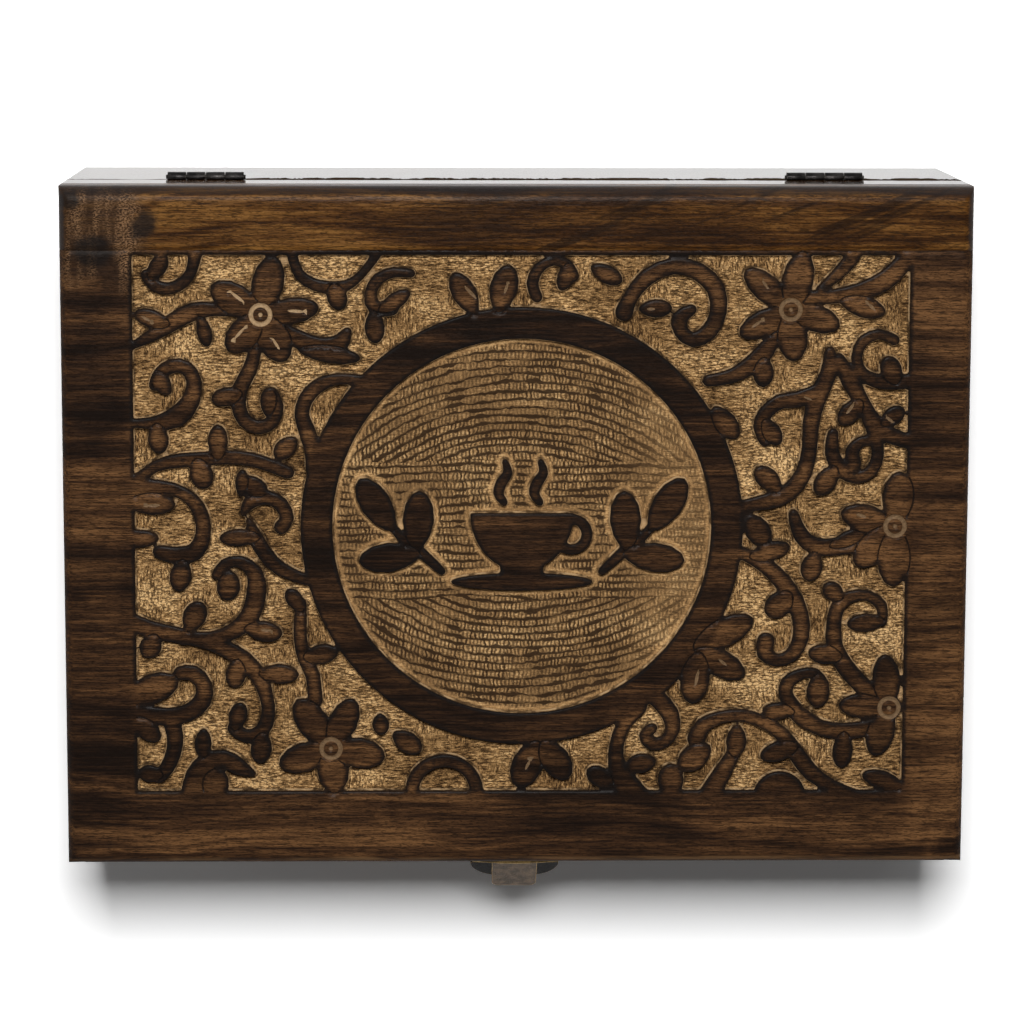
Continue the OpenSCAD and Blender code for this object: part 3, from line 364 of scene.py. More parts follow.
# Leaves whose outlines are cut into what they grow from: root x, y, tip x, y and width
LEAVES = (
    (-102, 70, -97.4, 77, 5), (-96.5, 57.5, -106.4, 60.8, 5.2), (-88, 60, -86, 51.3, 4.2),
    (-76.5, 38.5, -85.2, 36.3, 5.4), (-69.6, 31.8, -69, 40.2, 4.6), (-96.8, 37.8, -101, 44.4, 5),
    (-100.5, 30, -99.6, 21.2, 5.8), (-83.5, 19.5, -83.4, 29.6, 5.6),
    (-51.4, 69, -48.8, 61.6, 5.6), (-61, 50.5, -43.4, 48, 5), (-61.5, 25.8, -67.5, 20.2, 5.6),
    (-38.5, 61, -29.8, 67, 4.6), (-40, 61.5, -39.3, 52.2, 5.6), (-11.5, 60.5, -17.8, 72, 6.8),
    (-5.5, 61, -2, 74.3, 7.8), (12, 67, 15.2, 74.6, 5), (20.4, 74, 29.2, 69.4, 5.2),
    (33.8, 62, 43.2, 62.2, 5.2), (90, 64.4, 102.7, 60.8, 6), (106.2, 40.8, 103, 48.8, 6),
    (69, 48.5, 68.7, 40, 5.8), (69, 31, 73.6, 23.8, 5.2), (54.8, 34.6, 61.8, 25.6, 6.2),
    (96.5, 36.4, 90.2, 29.6, 5.8), (102, 29.4, 108.3, 34.2, 5.2), (89.5, 17.8, 84.2, 9.6, 6.2),
    (74, 10.8, 66.9, 17.4, 6), (64.8, 4, 70.6, -4.8, 7), (65.5, -8, 77, -4.8, 5.4),
    (77.2, -18, 70.8, -25, 7.2), (88, -5, 98, -0.6, 4.4), (84, -6.5, 82.2, -15, 6.2),
    (91.8, -20, 86.6, -15.8, 5.4), (104, -26.4, 93.2, -27.2, 5.4), (92, -36.6, 82.4, -35.2, 5.8),
    (50, -34, 66.8, -25.4, 8.4), (50.5, -34.5, 64.6, -42.2, 7.8), (51.5, -35, 49.6, -50.2, 8.4),
    (62.6, -56, 62.2, -65.4, 5.8), (80, -61.8, 69.2, -65.6, 5.8), (93, -58, 92.2, -68.8, 5.8),
    (85.6, -41.2, 85.2, -51.4, 6.6), (78.8, -52.4, 69.6, -52, 5), (110, -74, 98.2, -70.4, 5.4),
    (39.8, -66.4, 31.2, -68, 5.8), (27.4, -73.6, 20.2, -68.8, 5.8), (44, -77.5, 43.8, -67.2, 7.4),
    (55, -62, 46.2, -68.8, 7.4), (-38.5, -52.6, -38, -59, 4.8), (-34.8, -58.2, -26.8, -63.8, 6.2),
    (6.2, -60.5, 0.4, -74.2, 8.8), (7.4, -60.5, 14.8, -71.8, 8.2),
    (-79.6, -57.5, -77.4, -49.4, 5.2), (-71.4, -58, -72.6, -67.2, 6),
    (-80, -11.8, -81.6, -20.4, 6.6), (-76.5, -28.2, -65.8, -30, 6),
    (-101, -30, -104.6, -36.6, 6.2), (-92.6, -29, -88.4, -20.6, 6.6),
    (-110, -48.4, -95.2, -42.8, 8.6), (-99.8, -70.4, -106.8, -69.6, 5.2),
    (-108, -54, -100.6, -60.4, 5.8), (-86, -78, -84, -68.4, 7.4),
    (-88.2, -56.8, -88.6, -65.4, 4.8), (-60, -23.4, -64.4, -17, 4.8),
    (-60, -36.6, -50.2, -34.8, 5.8), (-72.5, -41, -61.2, -41.6, 5.8),
    (-78.4, -37, -79.6, -45.4, 5.8), (-89.6, 20, -86.8, 11.4, 6.6), (-109, 7.4, -95.4, 7, 6.4),
    (-93.4, -8.5, -95, -17.8, 6.2), (-112, -2.8, -100.2, -2.6, 5.2),
    (-71.8, -2.2, -83.4, -2.6, 5), (-78, 14.2, -69.8, 10.4, 5.4), (-77.2, 9, -76.6, 17, 3.6))
# Each flower's eye, and the tips and widths of its petals
FLOWERS = (
    ((-71.3, 60.3), ((-67.4, 76.8, 9), (-85, 68.6, 8.8), (-55, 62.4, 7.4), (-64.4, 47.2, 9.2),
                     (-80.4, 50, 8.6))),
    ((76.2, 61.8), ((63.3, 73, 7.6), (79.8, 78, 8.8), (62, 54.6, 7.6), (77.4, 47.2, 8.6),
                    (90, 57, 7.6))),
    ((106.3, 0.8), ((91, 4.8, 8), (107.6, 16.4, 8.8), (95.4, -10.6, 8.6), (106, -16.6, 9.2))),
    ((105.5, -51.2), ((104, -35.8, 8), (91.2, -50.4, 7.2), (101.4, -65.2, 8))),
    ((-52.3, -62.7), ((-62, -48.6, 9), (-45.8, -48.4, 8.2), (-67, -67.8, 8.6),
                      (-51.2, -75.6, 9), (-37, -65.4, 9))))
EYES = tuple(eye for eye, _ in FLOWERS)
PETALS = tuple((*eye, *petal) for eye, petals in FLOWERS for petal in petals)
SPRIGS = ((37.5, -0.5, 47.1, 14.3, 8.6), (31, -6, 30.1, 10.9, 8.8), (30, -7, 47.3, -9.1, 8.4),
          (-34.5, -0.5, -44.1, 14.3, 8.6), (-28, -6, -27.1, 10.9, 8.8),
          (-27, -7, -44.3, -9.1, 8.4))
OUTLINED = LEAVES + PETALS + SPRIGS   # in this order, the later ones on top


def soft(v, a, b):
    """A soft step from 0 to 1 as v goes from a to b."""
    t = np.clip((v - a) / (b - a), 0, 1)
    return t * t * (3 - 2 * t)


def from_segment(x, y, v):
    """How far places are from the segment between the origin and v."""
    t = np.clip((x * v[0] + y * v[1]) / max(v @ v, 1e-9), 0, 1)
    return np.hypot(x - t * v[0], y - t * v[1])


def beside_line(x, y, x0, y0, x1, y1):
    """How far along a line places are, as a share of its length, and how far off it."""
    dx, dy = x1 - x0, y1 - y0
    length = math.hypot(dx, dy)
    t = ((x - x0) * dx + (y - y0) * dy) / length ** 2
    return t, np.abs((x - x0) * dy - (y - y0) * dx) / length


def past_pocket(x, y):
    """How far each place is outside the carved pocket, below 0 inside it."""
    return np.maximum(np.maximum(POCKET[0] - x, x - POCKET[1]),
                      np.maximum(POCKET[2] - y, y - POCKET[3]))


def leaf_half(t, w):
    """Half the width of a leaf at a share t of its length."""
    return w / 2 * np.sqrt(np.clip(np.sin(np.pi * np.clip(t, 0, 1) ** 1.12), 0, None))


def leaf_outline(x0, y0, x1, y1, w, n=16):
    t = (1 - np.cos(np.pi * np.arange(n + 1) / n)) / 2
    v = np.array((x1 - x0, y1 - y0))
    off = leaf_half(t, w)[:, None] * (np.array((-v[1], v[0])) / np.hypot(*v))
    mid = np.array((x0, y0)) + np.outer(t, v)
    return np.vstack([mid + off, (mid - off)[-2:0:-1]])


def leaf_marks(x, y, d):
    """How far inside its own leaf each place is, in mm, and how deep in a cut outline."""
    own, crease = np.full(len(x), REACH), np.zeros(len(x))
    out = past_pocket(x, y)
    for leaf in OUTLINED:
        line = leaf_outline(*leaf)
        (ax, ay), (bx, by) = line.min(0) - 1, line.max(0) + 1
        near = np.nonzero((x > ax) & (x < bx) & (y > ay) & (y < by) & (d < 0.5))[0]
        px, py = x[near], y[near]
        dist = np.full(len(near), REACH)
        for p, q in zip(line, np.roll(line, -1, axis=0)):
            dist = np.minimum(dist, from_segment(px - p[0], py - p[1], q - p))
        t, off = beside_line(px, py, *leaf[:4])
        cut = np.clip(1 - dist / CREASE, 0, 1)
        inside = off < leaf_half(t, leaf[4])
        if leaf not in PETALS:
            # a leaf ends at the pocket's edge, a petal may lie over it
            cut = cut * (1 - soft(out[near], -0.5, 0.6))
            inside = inside & (out[near] < 0)
        crease[near] = np.where(inside, cut, np.maximum(crease[near], cut))
        own[near] = np.where(inside, dist, own[near])
    for ex, ey in EYES:
        r = np.hypot(x - ex, y - ey)
        crease *= soft(r, EYE_RIM, EYE_RIM + 0.4)
        own = np.where(r < EYE_RIM, REACH, own)
    return own, crease * soft(-d, 0.30, 0.85)


def open_edges(tri):
    """The edges that only one triangle has, from each one's first point to its second."""
    edges = {(int(t[i]), int(t[(i + 1) % 3])) for t in tri for i in range(3)}
    return {a: b for a, b in edges if (b, a) not in edges}


def relief_loops():
    """The closed outlines of the carved ground, in mm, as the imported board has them."""
    me = NODES["lid_top"].data
    co = np.empty(len(me.vertices) * 3)
    me.vertices.foreach_get("co", co)
    points, same = np.unique(np.round(co.reshape(-1, 3) * 1000, 3), axis=0, return_inverse=True)
    tri = np.empty(len(me.polygons) * 3, int)
    me.polygons.foreach_get("vertices", tri)
    tri = same.ravel()[tri.reshape(-1, 3)]
    tri = tri[np.all(np.abs(points[tri][:, :, 2] - GROUND_Z) < 0.02, axis=1)]
    after = open_edges(tri)
    loops = []
    while after:
        start, here = after.popitem()
        loop = [start]
        while here != start:
            loop.append(here)
            here = after.pop(here)
        loops.append(points[loop][:, :2])
    return sorted(loops, key=lambda p: (len(p), p[0][0]))


def blended(t, i0, j0, i1, j1, u, v):
    """The values of a table between its rows i0, i1 and its columns j0, j1."""
    return ((t[i0, j0] * (1 - u) + t[i0, j1] * u) * (1 - v)
            + (t[i1, j0] * (1 - u) + t[i1, j1] * u) * v)


class Field:
    """Signed distance to the relief's outline, above 0 over the carved ground."""

    def __init__(self, loops):
        self.x0, self.y0 = POCKET[0] - MARGIN, POCKET[2] - MARGIN
        nx = int((POCKET[1] + MARGIN - self.x0) / CELL)
        ny = int((POCKET[3] + MARGIN - self.y0) / CELL)
        d = np.full((ny, nx), REACH)
        flips = np.zeros((ny, nx + 1), int)
        xs, ys = self.x0 + CELL * np.arange(nx), self.y0 + CELL * np.arange(ny)
        for loop in loops:
            for p, q in zip(loop, np.roll(loop, -1, axis=0)):
                i0, i1 = np.searchsorted(ys, [min(p[1], q[1]) - REACH, max(p[1], q[1]) + REACH])
                j0, j1 = np.searchsorted(xs, [min(p[0], q[0]) - REACH, max(p[0], q[0]) + REACH])
                near = from_segment(xs[None, j0:j1] - p[0], ys[i0:i1, None] - p[1], q - p)
                np.minimum(d[i0:i1, j0:j1], near, out=d[i0:i1, j0:j1])
                a, b = (p, q) if p[1] < q[1] else (q, p)
                rows = np.arange(*np.searchsorted(ys, [a[1], b[1]]))
                if len(rows):
                    hit = a[0] + (b[0] - a[0]) * (ys[rows] - a[1]) / (b[1] - a[1])
                    flips[rows, np.searchsorted(xs, hit)] += 1
        inside = np.cumsum(flips, axis=1)[:, :nx] % 2 == 1
        d = np.where(inside, d, -d)
        k = np.exp(-0.5 * (np.arange(-TAPS, TAPS + 1) * CELL / BLUR) ** 2)
        k /= k.sum()
        pad = np.pad(d, TAPS, mode="edge")
        pad = np.apply_along_axis(np.convolve, 0, pad, k, "valid")
        self.d = np.apply_along_axis(np.convolve, 1, pad, k, "valid")

    def at(self, x, y):
        gx, gy = (np.asarray(x) - self.x0) / CELL, (np.asarray(y) - self.y0) / CELL
        ny, nx = self.d.shape
        out = (gx < 0) | (gy < 0) | (gx > nx - 2) | (gy > ny - 2)
        i, j = np.clip(gy, 0, ny - 2).astype(int), np.clip(gx, 0, nx - 2).astype(int)
        u, v = np.clip(gx - j, 0, 1), np.clip(gy - i, 0, 1)
        return np.where(out, -REACH, blended(self.d, i, j, i + 1, j + 1, u, v))

    def contour(self, level):
        """Closed polylines along which the distance has one value."""
        f = self.d - level
        up = f > 0
        link = {}
        mixed = up[:-1, :-1].astype(int) + up[:-1, 1:] + up[1:, :-1] + up[1:, 1:]
        for i, j in zip(*np.nonzero((mixed > 0) & (mixed < 4))):
            a, b, c, d = up[i, j], up[i, j + 1], up[i + 1, j + 1], up[i + 1, j]
            # the sides of the cell that the line crosses: 0 along x, 1 along y
            cross = [side for side, cut in (((0, i, j), a != b), ((1, i, j + 1), b != c),
                                            ((0, i + 1, j), d != c), ((1, i, j), a != d)) if cut]
            for a, b in zip(cross[::2], cross[1::2]):
                link.setdefault(a, []).append(b)
                link.setdefault(b, []).append(a)
        lines = []
        while link:
            line, ahead = [], [next(iter(link))]
            while ahead:
                line.append(ahead[0])
                ahead = [way for way in link.pop(ahead[0]) if way in link]
            pts = []
            for on_y, i, j in line:
                t = f[i, j] / (f[i, j] - f[i + on_y, j + 1 - on_y])
                pts.append((self.x0 + CELL * (j + t * (1 - on_y)),
                            self.y0 + CELL * (i + t * on_y)))
            if len(pts) > 5:
                lines.append(np.array(pts))
        return lines


def resampled(line, gap):
    """A closed polyline with even steps."""
    p = np.vstack([line, line[:1]])
    s = np.concatenate([[0], np.cumsum(np.hypot(*np.diff(p, axis=0).T))])
    n = max(3, int(round(s[-1] / gap)))
    t = np.arange(n) * s[-1] / n
    return np.column_stack([np.interp(t, s, p[:, 0]), np.interp(t, s, p[:, 1])])


def rough_map(x, y, fx, fy, seed):
    """Smooth random values from -1 to 1, one for each cell of 1/fx by 1/fy mm."""
    n = 512
    table = np.random.default_rng(seed).random((n, n)) * 2 - 1
    gx, gy = (np.asarray(x) + 300.0) * fx, (np.asarray(y) + 300.0) * fy
    i, j = np.floor(gy).astype(int), np.floor(gx).astype(int)
    u, v = gx - j, gy - i
    u, v = u * u * (3 - 2 * u), v * v * (3 - 2 * v)
    i0, j0, i1, j1 = i % n, j % n, (i + 1) % n, (j + 1) % n
    return blended(table, i0, j0, i1, j1, u, v)


BROAD = (0.09, 0.16)   # the lid's slow waves, in turns per mm
# The tool marks in the disc run in rows: arcs above and below the motif
ROW, BEAD = 2.2, 1.1   # mm
ARC_TOP, ARC_LOW = (1.5, -38.0), (1.5, 45.0)
MID_TOP, MID_LOW = 19.0, -20.0


def disc_rows(x, y):
    """What is constant along each row of tool marks in the disc."""
    top = np.hypot(x - ARC_TOP[0], y - ARC_TOP[1])
    low = np.hypot(x - ARC_LOW[0], y - ARC_LOW[1])
    return np.where(y > MID_TOP, top, np.where(y < MID_LOW, low, y))


def cut_mask(x, y):
    """1 along the middle of a vein cut, 0 outside it."""
    m = np.zeros(len(x))
    for *line, w in CUTS:
        t, off = beside_line(x, y, *line)
        half = CUT_HALF * w * np.clip(1 - (2 * t - 1) ** 2, 0, 1) ** 0.6
        deep = np.clip(1 - off / np.maximum(half, 1e-6), 0, 1)
        m = np.maximum(m, np.where((t > 0) & (t < 1), deep, 0))
    return m


def eye_mask(x, y):
    """1 in the middle of the groove round a flower's eye, and in the eye's dot."""
    m = np.zeros(len(x))
    mid, half = 0.5 * (EYE_RIM + EYE_CORE), 0.5 * (EYE_RIM - EYE_CORE)
    for ex, ey in EYES:
        r = np.hypot(x - ex, y - ey)
        m = np.maximum(m, np.clip(1 - np.abs(r - mid) / half, 0, 1))
        m = np.maximum(m, 0.7 * np.clip(1 - r / EYE_DOT, 0, 1))
    return m


def surface_z(x, y, d, marks, own, crease):
    """The height of the carved board at a place with distance d to the outline."""
    e = -d
    from_mid = np.hypot(x - RING_MID[0], y - RING_MID[1])
    in_ring = 1 - soft(from_mid, RING_OUT, RING_OUT + 1.5)
    carved = 1 - soft(past_pocket(x, y), 0.0, 2.5)
    lip = np.where(e < ARRIS, ARRIS - np.sqrt(np.clip(ARRIS ** 2 - (ARRIS - e) ** 2, 0, None)), 0)
    pillow = 0.05 + 0.16 * (1 - in_ring)
    pillow = carved * pillow * np.exp(-np.clip(np.minimum(e, own), 0, None))
    wave = (0.05 + 0.05 * rough_map(x, y, *BROAD, 3)
            + 0.05 * carved * rough_map(x, y, 0.4, 0.6, 5))
    top = -(0.8 * lip + pillow + wave * soft(e, 0.2, 1.5))
    top = top - CUT_DEEP * marks - CREASE_DEEP * crease
    foot = 0.22 * np.exp(-np.clip(d - 0.3, 0, None) / 0.35)
    strokes = (0.20 * rough_map(x, y, 0.55, 1.15, 7) + 0.10 * rough_map(x, y, 1.1, 1.5, 8)
               + 0.12 * rough_map(x, y, 0.12, 0.12, 9))
    rows = disc_rows(x, y)
    number = np.floor(rows / ROW)
    beads = (0.17 * np.cos(2 * np.pi * rows / ROW)
             + 0.12 * np.cos(2 * np.pi * (x / BEAD + 0.37 * number))
             + 0.06 * rough_map(x, y, 0.9, 0.9, 11))
    tools = np.where(from_mid < RING_IN, beads * soft(d, 1.6, 2.6), strokes)
    ground = -CARVE + foot + soft(d, 0.7, 1.4) * tools
    wall = np.clip((d + 0.05) / 0.35, 0, 1)
    z = top * (1 - wall) + ground * wall
    ax = np.clip(np.abs(x) - (HALF_W - EDGE_R), 0, EDGE_R)
    ay = np.clip(FRONT_Y + EDGE_R - y, 0, EDGE_R)
    fall = EDGE_R - np.sqrt(np.clip(EDGE_R ** 2 - np.maximum(ax, ay) ** 2, 0, None))
    joint = JOINT_DROP * soft(y, STRIP_Y - JOINT, STRIP_Y)
    return FACE_Z + np.minimum(z, 0) * (1 - soft(np.maximum(ax, ay), 0, 0.6)) - fall - joint


def jittered(x0, x1, y0, y1, gap, seed):
    """A grid of places, each moved by up to a quarter of the gap."""
    xs, ys = np.meshgrid(np.arange(x0, x1, gap), np.arange(y0, y1, gap))
    rng = np.random.default_rng(seed)
    return np.column_stack([(xs + gap * 0.25 * (rng.random(xs.shape) * 2 - 1)).ravel(),
                            (ys + gap * 0.25 * (rng.random(ys.shape) * 2 - 1)).ravel()])


def closed_mesh(name, top, rim, faces):
    """A smooth upper face with flat sides under its rim, and a flat underside."""
    n, m = len(top), len(rim)
    low = np.column_stack([top[rim][:, :2], np.full(m, BOARD_Z)])
    sides = [(rim[i], n + i, n + (i + 1) % m, rim[(i + 1) % m]) for i in range(m)]
    under = tuple(n + i for i in reversed(range(m)))
    me = bpy.data.meshes.new(name)
    me.from_pydata((np.vstack([top, low]) * MM).tolist(), [], faces + sides + [under])
    me.validate()
    me.polygons.foreach_set("use_smooth", [i < len(faces) for i in range(len(me.polygons))])
    me.update()
    return placed(name, me)


# Lines along the relief's outline: their distance to it, and the gaps of their points
LEVELS = ((-0.95, 0.95), (-0.36, 0.72), (-0.05, 0.66), (0.30, 0.66), (0.78, 0.8))
# Circles about an eye: radius and number of points
EYE_RINGS = ((4.0, 30), (3.5, 30), (3.1, 26), (2.7, 24), (2.3, 22), (1.9, 18), (1.4, 12),
             (0.9, 9), (0.45, 6), (0, 1))
TURN = [math.sin(math.radians(a)) for a in (0, 12, 25, 38, 52, 66, 78, 90)]


def board_points(field):
    """The points of the carved face, their distances to the outline where those are known,
    and the lines that its triangles have to follow."""
    pts, dist, edges = [], [], []
    count = 0

    def add(p, d=np.nan, closed=False):
        nonlocal count
        n = len(p)
        pts.append(p)
        dist.append(np.full(n, float(d)))
        if closed:
            edges.extend((count + i, count + (i + 1) % n) for i in range(n))
        count += n

    for level, gap in LEVELS:
        for line in field.contour(level):
            p = resampled(line, gap)
            if len(p) > 4:
                add(p, level, True)
    # the cut outlines
    for leaf in OUTLINED:
        line = resampled(leaf_outline(*leaf), 0.62)
        side = np.roll(line, -1, axis=0) - np.roll(line, 1, axis=0)
        side = np.column_stack([side[:, 1], -side[:, 0]]) / np.hypot(*side.T)[:, None]
        for off in (0.0, -CREASE, CREASE):
            ring = line + side * off
            d = field.at(*ring.T)
            keep = (d < -0.6) & (ring[:, 0] < 120) & (ring[:, 1] > -92)
            for ex, ey in EYES:
                keep &= np.hypot(ring[:, 0] - ex, ring[:, 1] - ey) > EYE_RIM + 0.3
            place = np.cumsum(keep) - 1
            if off == 0.0:
                after = np.roll(keep, -1)
                edges.extend((count + int(place[i]), count + int(place[(i + 1) % len(ring)]))
                             for i in np.nonzero(keep & after)[0])
            if keep.any():
                add(ring[keep])
    # rounded edges on three sides, from the flat down to the side faces
    joint = (STRIP_Y, STRIP_Y - JOINT)
    xs = np.arange(-122.0, 122.1, 2.0)
    ys = np.arange(-91.0, 76.1, 2.0)
    for t in TURN:
        x, y = HALF_W - EDGE_R + EDGE_R * t, FRONT_Y + EDGE_R - EDGE_R * t
        add(np.array([(u, y) for u in xs] + [(-x, y), (x, y)]))
        add(np.array([(s * x, v) for v in ys for s in (-1, 1)]))
        add(np.array([(s * x, v) for v in joint for s in (-1, 1)]))
    for y in joint:
        add(np.array([(u, y) for u in xs]))
    # the carved ground, the tops of the relief and the plain border
    fine = jittered(*POCKET, 0.61, 21)
    add(fine[field.at(*fine.T) > 1.08])
    tops = jittered(*POCKET, 1.25, 22)
    add(tops[field.at(*tops.T) < -1.35])
    plain = jittered(-122.5, 123, -91.5, 77.0, 1.9, 23)
    add(plain[(past_pocket(*plain.T) > 0) & (field.at(*plain.T) < -1.4)])
    for x0, y0, x1, y1, w in CUTS:
        a, b = np.array((x0, y0)), np.array((x1, y1))
        v = (b - a) / np.hypot(*(b - a))
        n = np.array((-v[1], v[0]))
        for t in np.linspace(0, 1, 9):
            half = CUT_HALF * w * (1 - (2 * t - 1) ** 2) ** 0.6
            c = a + (b - a) * t
            beside = (-1.3, -1, 0, 1, 1.3) if half > 0.05 else (0,)
            add(np.array([c + n * half * s for s in beside]))
    for ex, ey in EYES:
        for r, n in EYE_RINGS:
            a = np.arange(n) * 2 * math.pi / n
            add(np.column_stack([ex + r * np.cos(a), ey + r * np.sin(a)]))
    return np.vstack(pts), np.concatenate(dist), edges


def carved_board():
    """The carved board as one closed mesh, with the masks that its material reads."""
    field = Field(relief_loops())
    p, dist, edges = board_points(field)
    flat, _, faces, origin, _, _ = delaunay_2d_cdt([Vector(v) for v in p], edges, [], 0, 1e-4)
    xy = np.array([tuple(v) for v in flat])
    given = np.full(len(xy), np.nan)
    for i, o in enumerate(origin):
        if o:
            given[i] = dist[o[0]]
    d = np.where(np.isnan(given), field.at(*xy.T), given)
    cuts, eyes = cut_mask(*xy.T), eye_mask(*xy.T)
    own, crease = leaf_marks(xy[:, 0], xy[:, 1], d)
    marks = np.maximum(0.8 * soft(cuts, 0, 1), 0.95 * soft(eyes, 0, 0.6)) * (d < -0.1)
    z = surface_z(xy[:, 0], xy[:, 1], d, marks, own, crease)
    tri = np.array([f for f in faces if len(f) == 3])
    a, b, c = xy[tri[:, 0]], xy[tri[:, 1]], xy[tri[:, 2]]
    turned = ((b - a)[:, 0] * (c - a)[:, 1] - (b - a)[:, 1] * (c - a)[:, 0]) < 0
    tri[turned] = tri[turned][:, ::-1]
    after = open_edges(tri)
    rim = [next(iter(after))]
    while after[rim[-1]] != rim[0]:
        rim.append(after[rim[-1]])
    ob = closed_mesh("lid_carved_board", np.column_stack([xy, z]), rim, tri.tolist())
    cut = np.maximum(cuts, eyes) * (d < -0.1)
    for name, mask, below in (("sd", d, -REACH), ("cut", cut, 0), ("crease", crease, 0)):
        mask = np.append(mask, np.full(len(rim), below)).astype(np.float32)
        ob.data.attributes.new(name, "FLOAT", "POINT").data.foreach_set("value", mask)
    print("carved board", len(ob.data.vertices), len(ob.data.polygons))
    return ob


# Lighter and darker areas of the border, the two along the front edge a painted sheen: x, y, half
# widths in mm, and how much lighter
TONE_AND_SHEEN_PATCHES = ((118, -48, 14, 52, 0.10), (92, -88, 40, 9, 0.08), (-70, -87, 62, 10, 0.05),
         (-118, -8, 10, 16, 0.05), (-118, 44, 12, 26, -0.05), (0, 57.5, 40, 6, -0.05),
         (15, -57, 26, 6, 0.04))
# The chiselled ground, from its deepest tone to its palest
GROUND = ((0.44, (0.055, 0.028, 0.011)), (0.51, (0.190, 0.104, 0.040)),
          (0.57, (0.400, 0.232, 0.094)), (0.65, (0.820, 0.530, 0.245)))


def disc_gaps(s, flat):
    """The dark gaps of the bead rows in the disc, in arcs above and below the motif, and
    how uneven their edge is."""
    bow = s.mad(s.streaks((0.02, 0.05, 0.0), 2.0), 6.0, -3.0)
    wx = s.add(s.x, s.mad(s.noise(s.mm, 0.45, 2.0), 1.6, -0.8))
    wob = s.mad(s.noise(s.mm, 0.6, 2.0), 1.0, -0.5)
    top = s.vmath("DISTANCE", flat, (*ARC_TOP, 0.0))
    low = s.vmath("DISTANCE", flat, (*ARC_LOW, 0.0))
    shaky = s.add(s.y, s.mul(bow, 1.6))
    v = s.blendf(s.math("GREATER_THAN", shaky, MID_TOP), s.y, top)
    v = s.blendf(s.math("LESS_THAN", shaky, MID_LOW), v, low)
    v = s.math("DIVIDE", s.add(v, s.add(bow, wob)), ROW)
    number = s.math("FLOOR", v)
    across = s.math("ABSOLUTE", s.sub(s.math("FRACT", v), 0.5))
    u = s.add(s.math("DIVIDE", wx, BEAD), s.mul(number, 0.37))
    along = s.math("ABSOLUTE", s.sub(s.math("FRACT", u), 0.5))
    even = s.mul(s.step(along, 0.38, 0.14), s.step(across, 0.44, 0.20))
    loose = s.step(s.noise(s.xyz(s.mul(wx, 1.15), s.mul(number, 5.7)), 1.0, 2.0), 0.42, 0.54)
    bead = s.blendf(0.25, even, loose)
    clump = s.streaks((0.045, 0.075, 0.05), 3.0, 0.6)
    # long dark dashes that taper out, between the rows
    reach = s.noise(s.xyz(s.mul(s.x, 0.15), s.mul(number, 7.7)), 1.0, 3.0, 0.6)
    gap = s.step(s.mad(reach, 1.3, across), 0.90, 1.07)
    fill = s.mul(s.step(clump, 0.30, 0.56), 0.46)
    hollow = s.math("MAXIMUM", s.mul(gap, 0.95), s.mul(s.sub(1.0, bead), s.add(fill, 0.50)))
    side = s.mul(s.step(s.x, 26.0, 44.0), 0.30)
    return s.mul(hollow, s.sub(1.0, side)), wob


